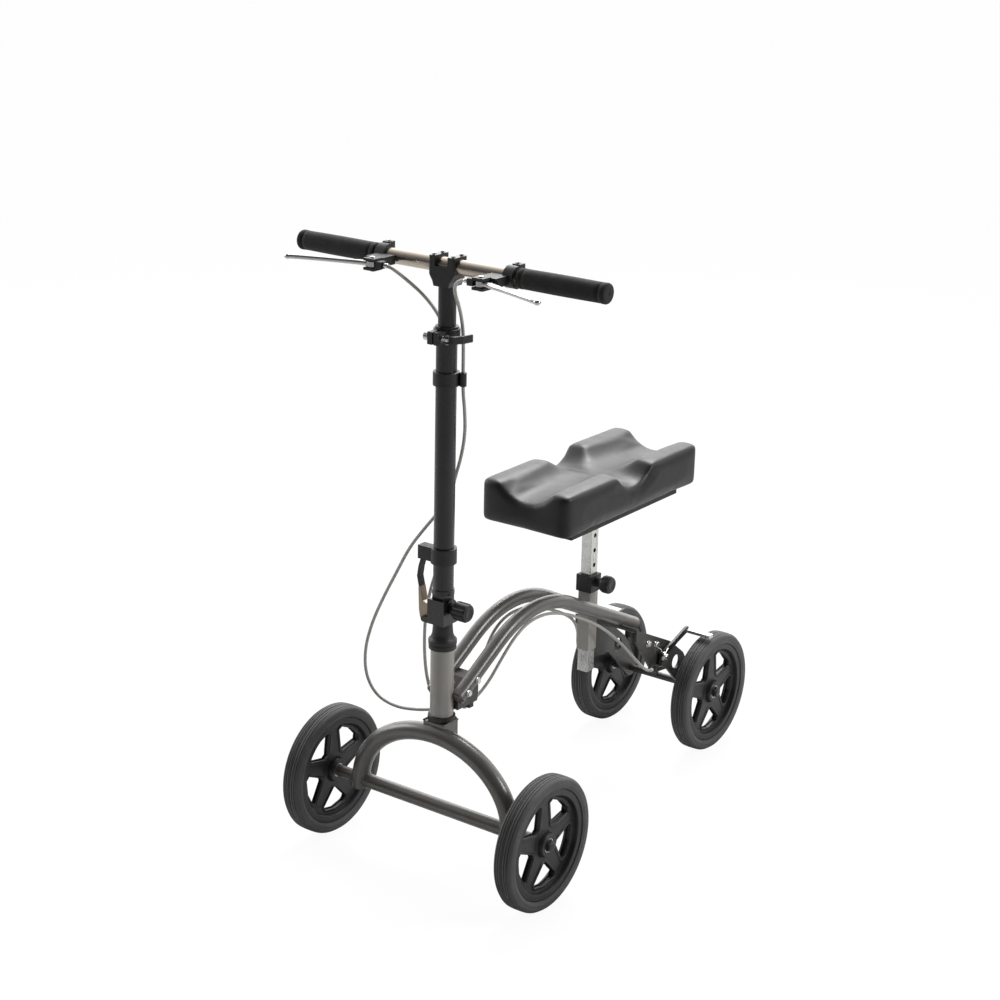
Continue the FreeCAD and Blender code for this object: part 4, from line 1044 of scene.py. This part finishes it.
class SCOOTER_OT_welds(bpy.types.Operator):
    """Run the weld beads along the joints"""
    bl_idname = "scooter.welds"
    bl_label = "Weld beads"

    def execute(self, context):
        fork = []
        low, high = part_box("axle_beam")
        axle = (low + high) / 2
        for side in (1, -1):
            centre = Vector((side * 0.140, axle.y, axle.z))
            line = []
            for i in range(160):
                angle = 2 * math.pi * i / 160
                y = 0.0112 * math.cos(angle)
                z = 0.0112 * math.sin(angle)
                reach = math.sqrt(max(0.014 ** 2 - y * y, 0))
                line.append(centre + Vector((-side * reach, y, z)))
            fork.append(weld(line, True))
        for side in (1, -1):
            ring = [Vector((side * 0.019, -0.316 + 0.034 * k / 20, 0.2341)) for k in range(21)]
            fork.append(weld(ring))
        piece("fork_welds", joined("welds", fork), "arch_paint", "fork", 70)

        frame_beads = []
        for side in (1, -1):
            for z in (250.6, 291.4):
                low_angle = 0.62 if side == 1 else math.pi - 1.45
                line = ring_line(mm(0, -297, z), AXES["Z"], 0.0176, 40, low_angle, low_angle + 0.83)
                frame_beads.append(weld(line))
            tube_side = [mm(side * (22.3 - 0.5), y, 381.3 - (y + 98.6) * math.tan(math.radians(25.9)) - 11.5)
                         for y in (142, 150, 158, 166, 174, 182, 189)]
            frame_beads.append(weld([spot + mm(side * 7.5, 0, 1.5) for spot in smooth_line(tube_side)]))
            frame_beads.append(weld([spot + mm(side * -7.5, 0, 1.5) for spot in smooth_line(tube_side)]))
            sleeve = [mm(side * 11.3, 84 + k * 11 / 10, 292.6 - k * 11 / 10 * 0.486) for k in range(-10, 11)]
            frame_beads.append(weld([spot + mm(0, 0, 9.5) for spot in sleeve]))
        piece("frame_welds", joined("welds", frame_beads), "arch_paint", "frame", 70)
        return {"FINISHED"}


class SCOOTER_OT_springs(bpy.types.Operator):
    """Wind the brake arms' return springs"""
    bl_idname = "scooter.springs"
    bl_label = "Springs"

    def execute(self, context):
        low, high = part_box("brake_pivots")
        middle = (low + high) / 2
        coils = []
        for side in (1, -1):
            line = [Vector((side * 0.0605, middle.y - 0.016, middle.z + 0.0205)),
                    Vector((side * 0.0672, middle.y - 0.011, middle.z + 0.016))]
            for i in range(97):
                angle = math.radians(120) - 2 * math.pi * 3 * i / 96
                line.append(Vector((side * (0.0674 + 0.0029 * i / 96), middle.y + 0.0068 * math.cos(angle),
                                    middle.z + 0.0068 * math.sin(angle))))
            line.append(line[-1] + mm(0, 6, 3))
            line.append(line[-1] + mm(-side * 1.0, 7, 3))
            coils.append(sweep(line, round_section(0.0007, 8)))
        piece("brake_return_springs", joined("springs", coils), "zinc_steel", "frame")
        return {"FINISHED"}


# ------------------------------------------------------------------ stage

class SCOOTER_OT_stage(bpy.types.Operator):
    """Set the floor, the lights and the camera"""
    bl_idname = "scooter.stage"
    bl_label = "Stage"

    def execute(self, context):
        self.floor()
        self.lights(context)
        self.camera(context)
        return {"FINISHED"}

    def floor(self):
        """A plain pale floor, lit a little from within so that it stays white."""
        material = bpy.data.materials.new("studio_floor")
        material.use_nodes = True
        tree = material.node_tree
        shader = tree.nodes["Principled BSDF"]
        shader.inputs["Base Color"].default_value = (0.5, 0.5, 0.5, 1)
        shader.inputs["Roughness"].default_value = 0.9
        shader.inputs["Specular IOR Level"].default_value = 0.1
        white = tree.nodes.new("ShaderNodeEmission")
        white.inputs["Color"].default_value = (1, 1, 1, 1)
        white.inputs["Strength"].default_value = 1.09
        blend = tree.nodes.new("ShaderNodeMixShader")
        seen = tree.nodes.new("ShaderNodeLightPath").outputs["Is Camera Ray"]
        wire(tree, maths(tree, "MULTIPLY", seen, 0.86), blend.inputs[0])
        wire(tree, shader.outputs[0], blend.inputs[1])
        wire(tree, white.outputs[0], blend.inputs[2])
        wire(tree, blend.outputs[0], tree.nodes["Material Output"].inputs["Surface"])
        mesh = mesh_of("floor", [(-20, -20, -0.0004), (20, -20, -0.0004), (20, 20, -0.0004), (-20, 20, -0.0004)],
                       [(0, 1, 2, 3)])
        obj = bpy.data.objects.new("studio_floor", mesh)
        bpy.context.scene.collection.objects.link(obj)
        mesh.materials.append(material)

    def lights(self, context):
        """A room that is white at the back and dim at the front, with three large soft lights."""
        stage = context.scene.scooter_stage
        world = bpy.data.worlds.new("surround")
        context.scene.world = world
        world.use_nodes = True
        tree = world.node_tree
        back = tree.nodes["Background"]
        back.inputs["Color"].default_value = (1, 1, 1, 1)
        place = tree.nodes.new("ShaderNodeTexCoord")
        facing = tree.nodes.new("ShaderNodeVectorMath")
        facing.operation = "DOT_PRODUCT"
        wire(tree, place.outputs["Generated"], facing.inputs[0])
        facing.inputs[1].default_value = (-math.sin(stage.azimuth), math.cos(stage.azimuth), 0.15)
        turned = remap(tree, facing.outputs["Value"], -0.3, 0.95)
        wall = maths(tree, "MULTIPLY", maths(tree, "MULTIPLY", turned, turned), stage.world_back)
        glow = maths(tree, "ADD", wall, stage.world_front)
        seen = tree.nodes.new("ShaderNodeLightPath").outputs["Is Camera Ray"]
        lit = maths(tree, "ADD", maths(tree, "MULTIPLY", glow, maths(tree, "SUBTRACT", 1.0, seen)), seen)
        wire(tree, lit, back.inputs["Strength"])
        context.scene.view_settings.view_transform = "Standard"
        key = stage.key_power
        for name, spot, aim, size, power in (("key_light", (2.6, 0.9, 2.0), (0, 0, 0.5), 1.0, key),
                                             ("fill_light", (-2.4, -0.8, 1.4), (0, 0, 0.4), 1.2, key * 0.5),
                                             ("top_light", (-0.5, 1.5, 2.6), (0, 0, 0.3), 1.4, key * 1.8)):
            lamp = bpy.data.lights.new(name, "AREA")
            lamp.size = size
            lamp.energy = power
            obj = bpy.data.objects.new(name, lamp)
            context.scene.collection.objects.link(obj)
            obj.location = spot
            obj.rotation_euler = (Vector(aim) - Vector(spot)).to_track_quat("-Z", "Y").to_euler()

    def camera(self, context):
        """The camera, from its angles, distance and aim."""
        stage = context.scene.scooter_stage
        flat = math.cos(stage.elevation)
        back = Vector((math.sin(stage.azimuth) * flat, -math.cos(stage.azimuth) * flat, math.sin(stage.elevation)))
        right = (-back).cross(AXES["Z"]).normalized()
        up = right.cross(-back)
        target = right * stage.aim_side + Vector((0, 0.003, stage.aim_height))
        turn = math.cos(stage.roll), math.sin(stage.roll)
        level = right * turn[0] + up * turn[1]
        upright = up * turn[0] - right * turn[1]
        matrix = Matrix((level, upright, back)).transposed().to_4x4()
        matrix.translation = target + back * stage.distance
        lens = bpy.data.cameras.new("studio_camera")
        lens.lens = stage.lens
        lens.sensor_width = 36.0
        lens.clip_end = 100.0
        obj = bpy.data.objects.new("studio_camera", lens)
        context.scene.collection.objects.link(obj)
        obj.matrix_world = matrix
        context.scene.camera = obj


class SCOOTER_PT_panel(bpy.types.Panel):
    """Lists the scooter's operators and settings."""
    bl_idname = "SCOOTER_PT_panel"
    bl_label = "Knee scooter"
    bl_space_type = "VIEW_3D"
    bl_region_type = "UI"
    bl_category = "Scooter"

    def draw(self, context):
        for operator in OPERATORS:
            self.layout.operator(operator.bl_idname)
        for group in (context.scene.scooter_colours, context.scene.scooter_sizes, context.scene.scooter_stage):
            box = self.layout.box()
            for name in group.__annotations__:
                box.prop(group, name)


OPERATORS = (SCOOTER_OT_finishes, SCOOTER_OT_stage, SCOOTER_OT_cables, SCOOTER_OT_tyres, SCOOTER_OT_rim_details,
             SCOOTER_OT_axle_nuts, SCOOTER_OT_knee_pad, SCOOTER_OT_grips, SCOOTER_OT_brake_levers, SCOOTER_OT_fasteners,
             SCOOTER_OT_welds, SCOOTER_OT_springs)
GROUPS = (SCOOTER_PG_colours, SCOOTER_PG_sizes, SCOOTER_PG_stage)


def register():
    """Registers every class and hangs the settings on the scene."""
    for item in GROUPS + OPERATORS + (SCOOTER_PT_panel,):
        bpy.utils.register_class(item)
    bpy.types.Scene.scooter_colours = PointerProperty(type=SCOOTER_PG_colours)
    bpy.types.Scene.scooter_sizes = PointerProperty(type=SCOOTER_PG_sizes)
    bpy.types.Scene.scooter_stage = PointerProperty(type=SCOOTER_PG_stage)


def unregister():
    """Undoes register."""
    del bpy.types.Scene.scooter_stage
    del bpy.types.Scene.scooter_sizes
    del bpy.types.Scene.scooter_colours
    for item in reversed(GROUPS + OPERATORS + (SCOOTER_PT_panel,)):
        bpy.utils.unregister_class(item)


def main():
    """Builds the scooter's looks."""
    register()
    for operator in OPERATORS:
        group, name = operator.bl_idname.split(".")
        getattr(getattr(bpy.ops, group), name)()


if __name__ == "__main__":
    main()
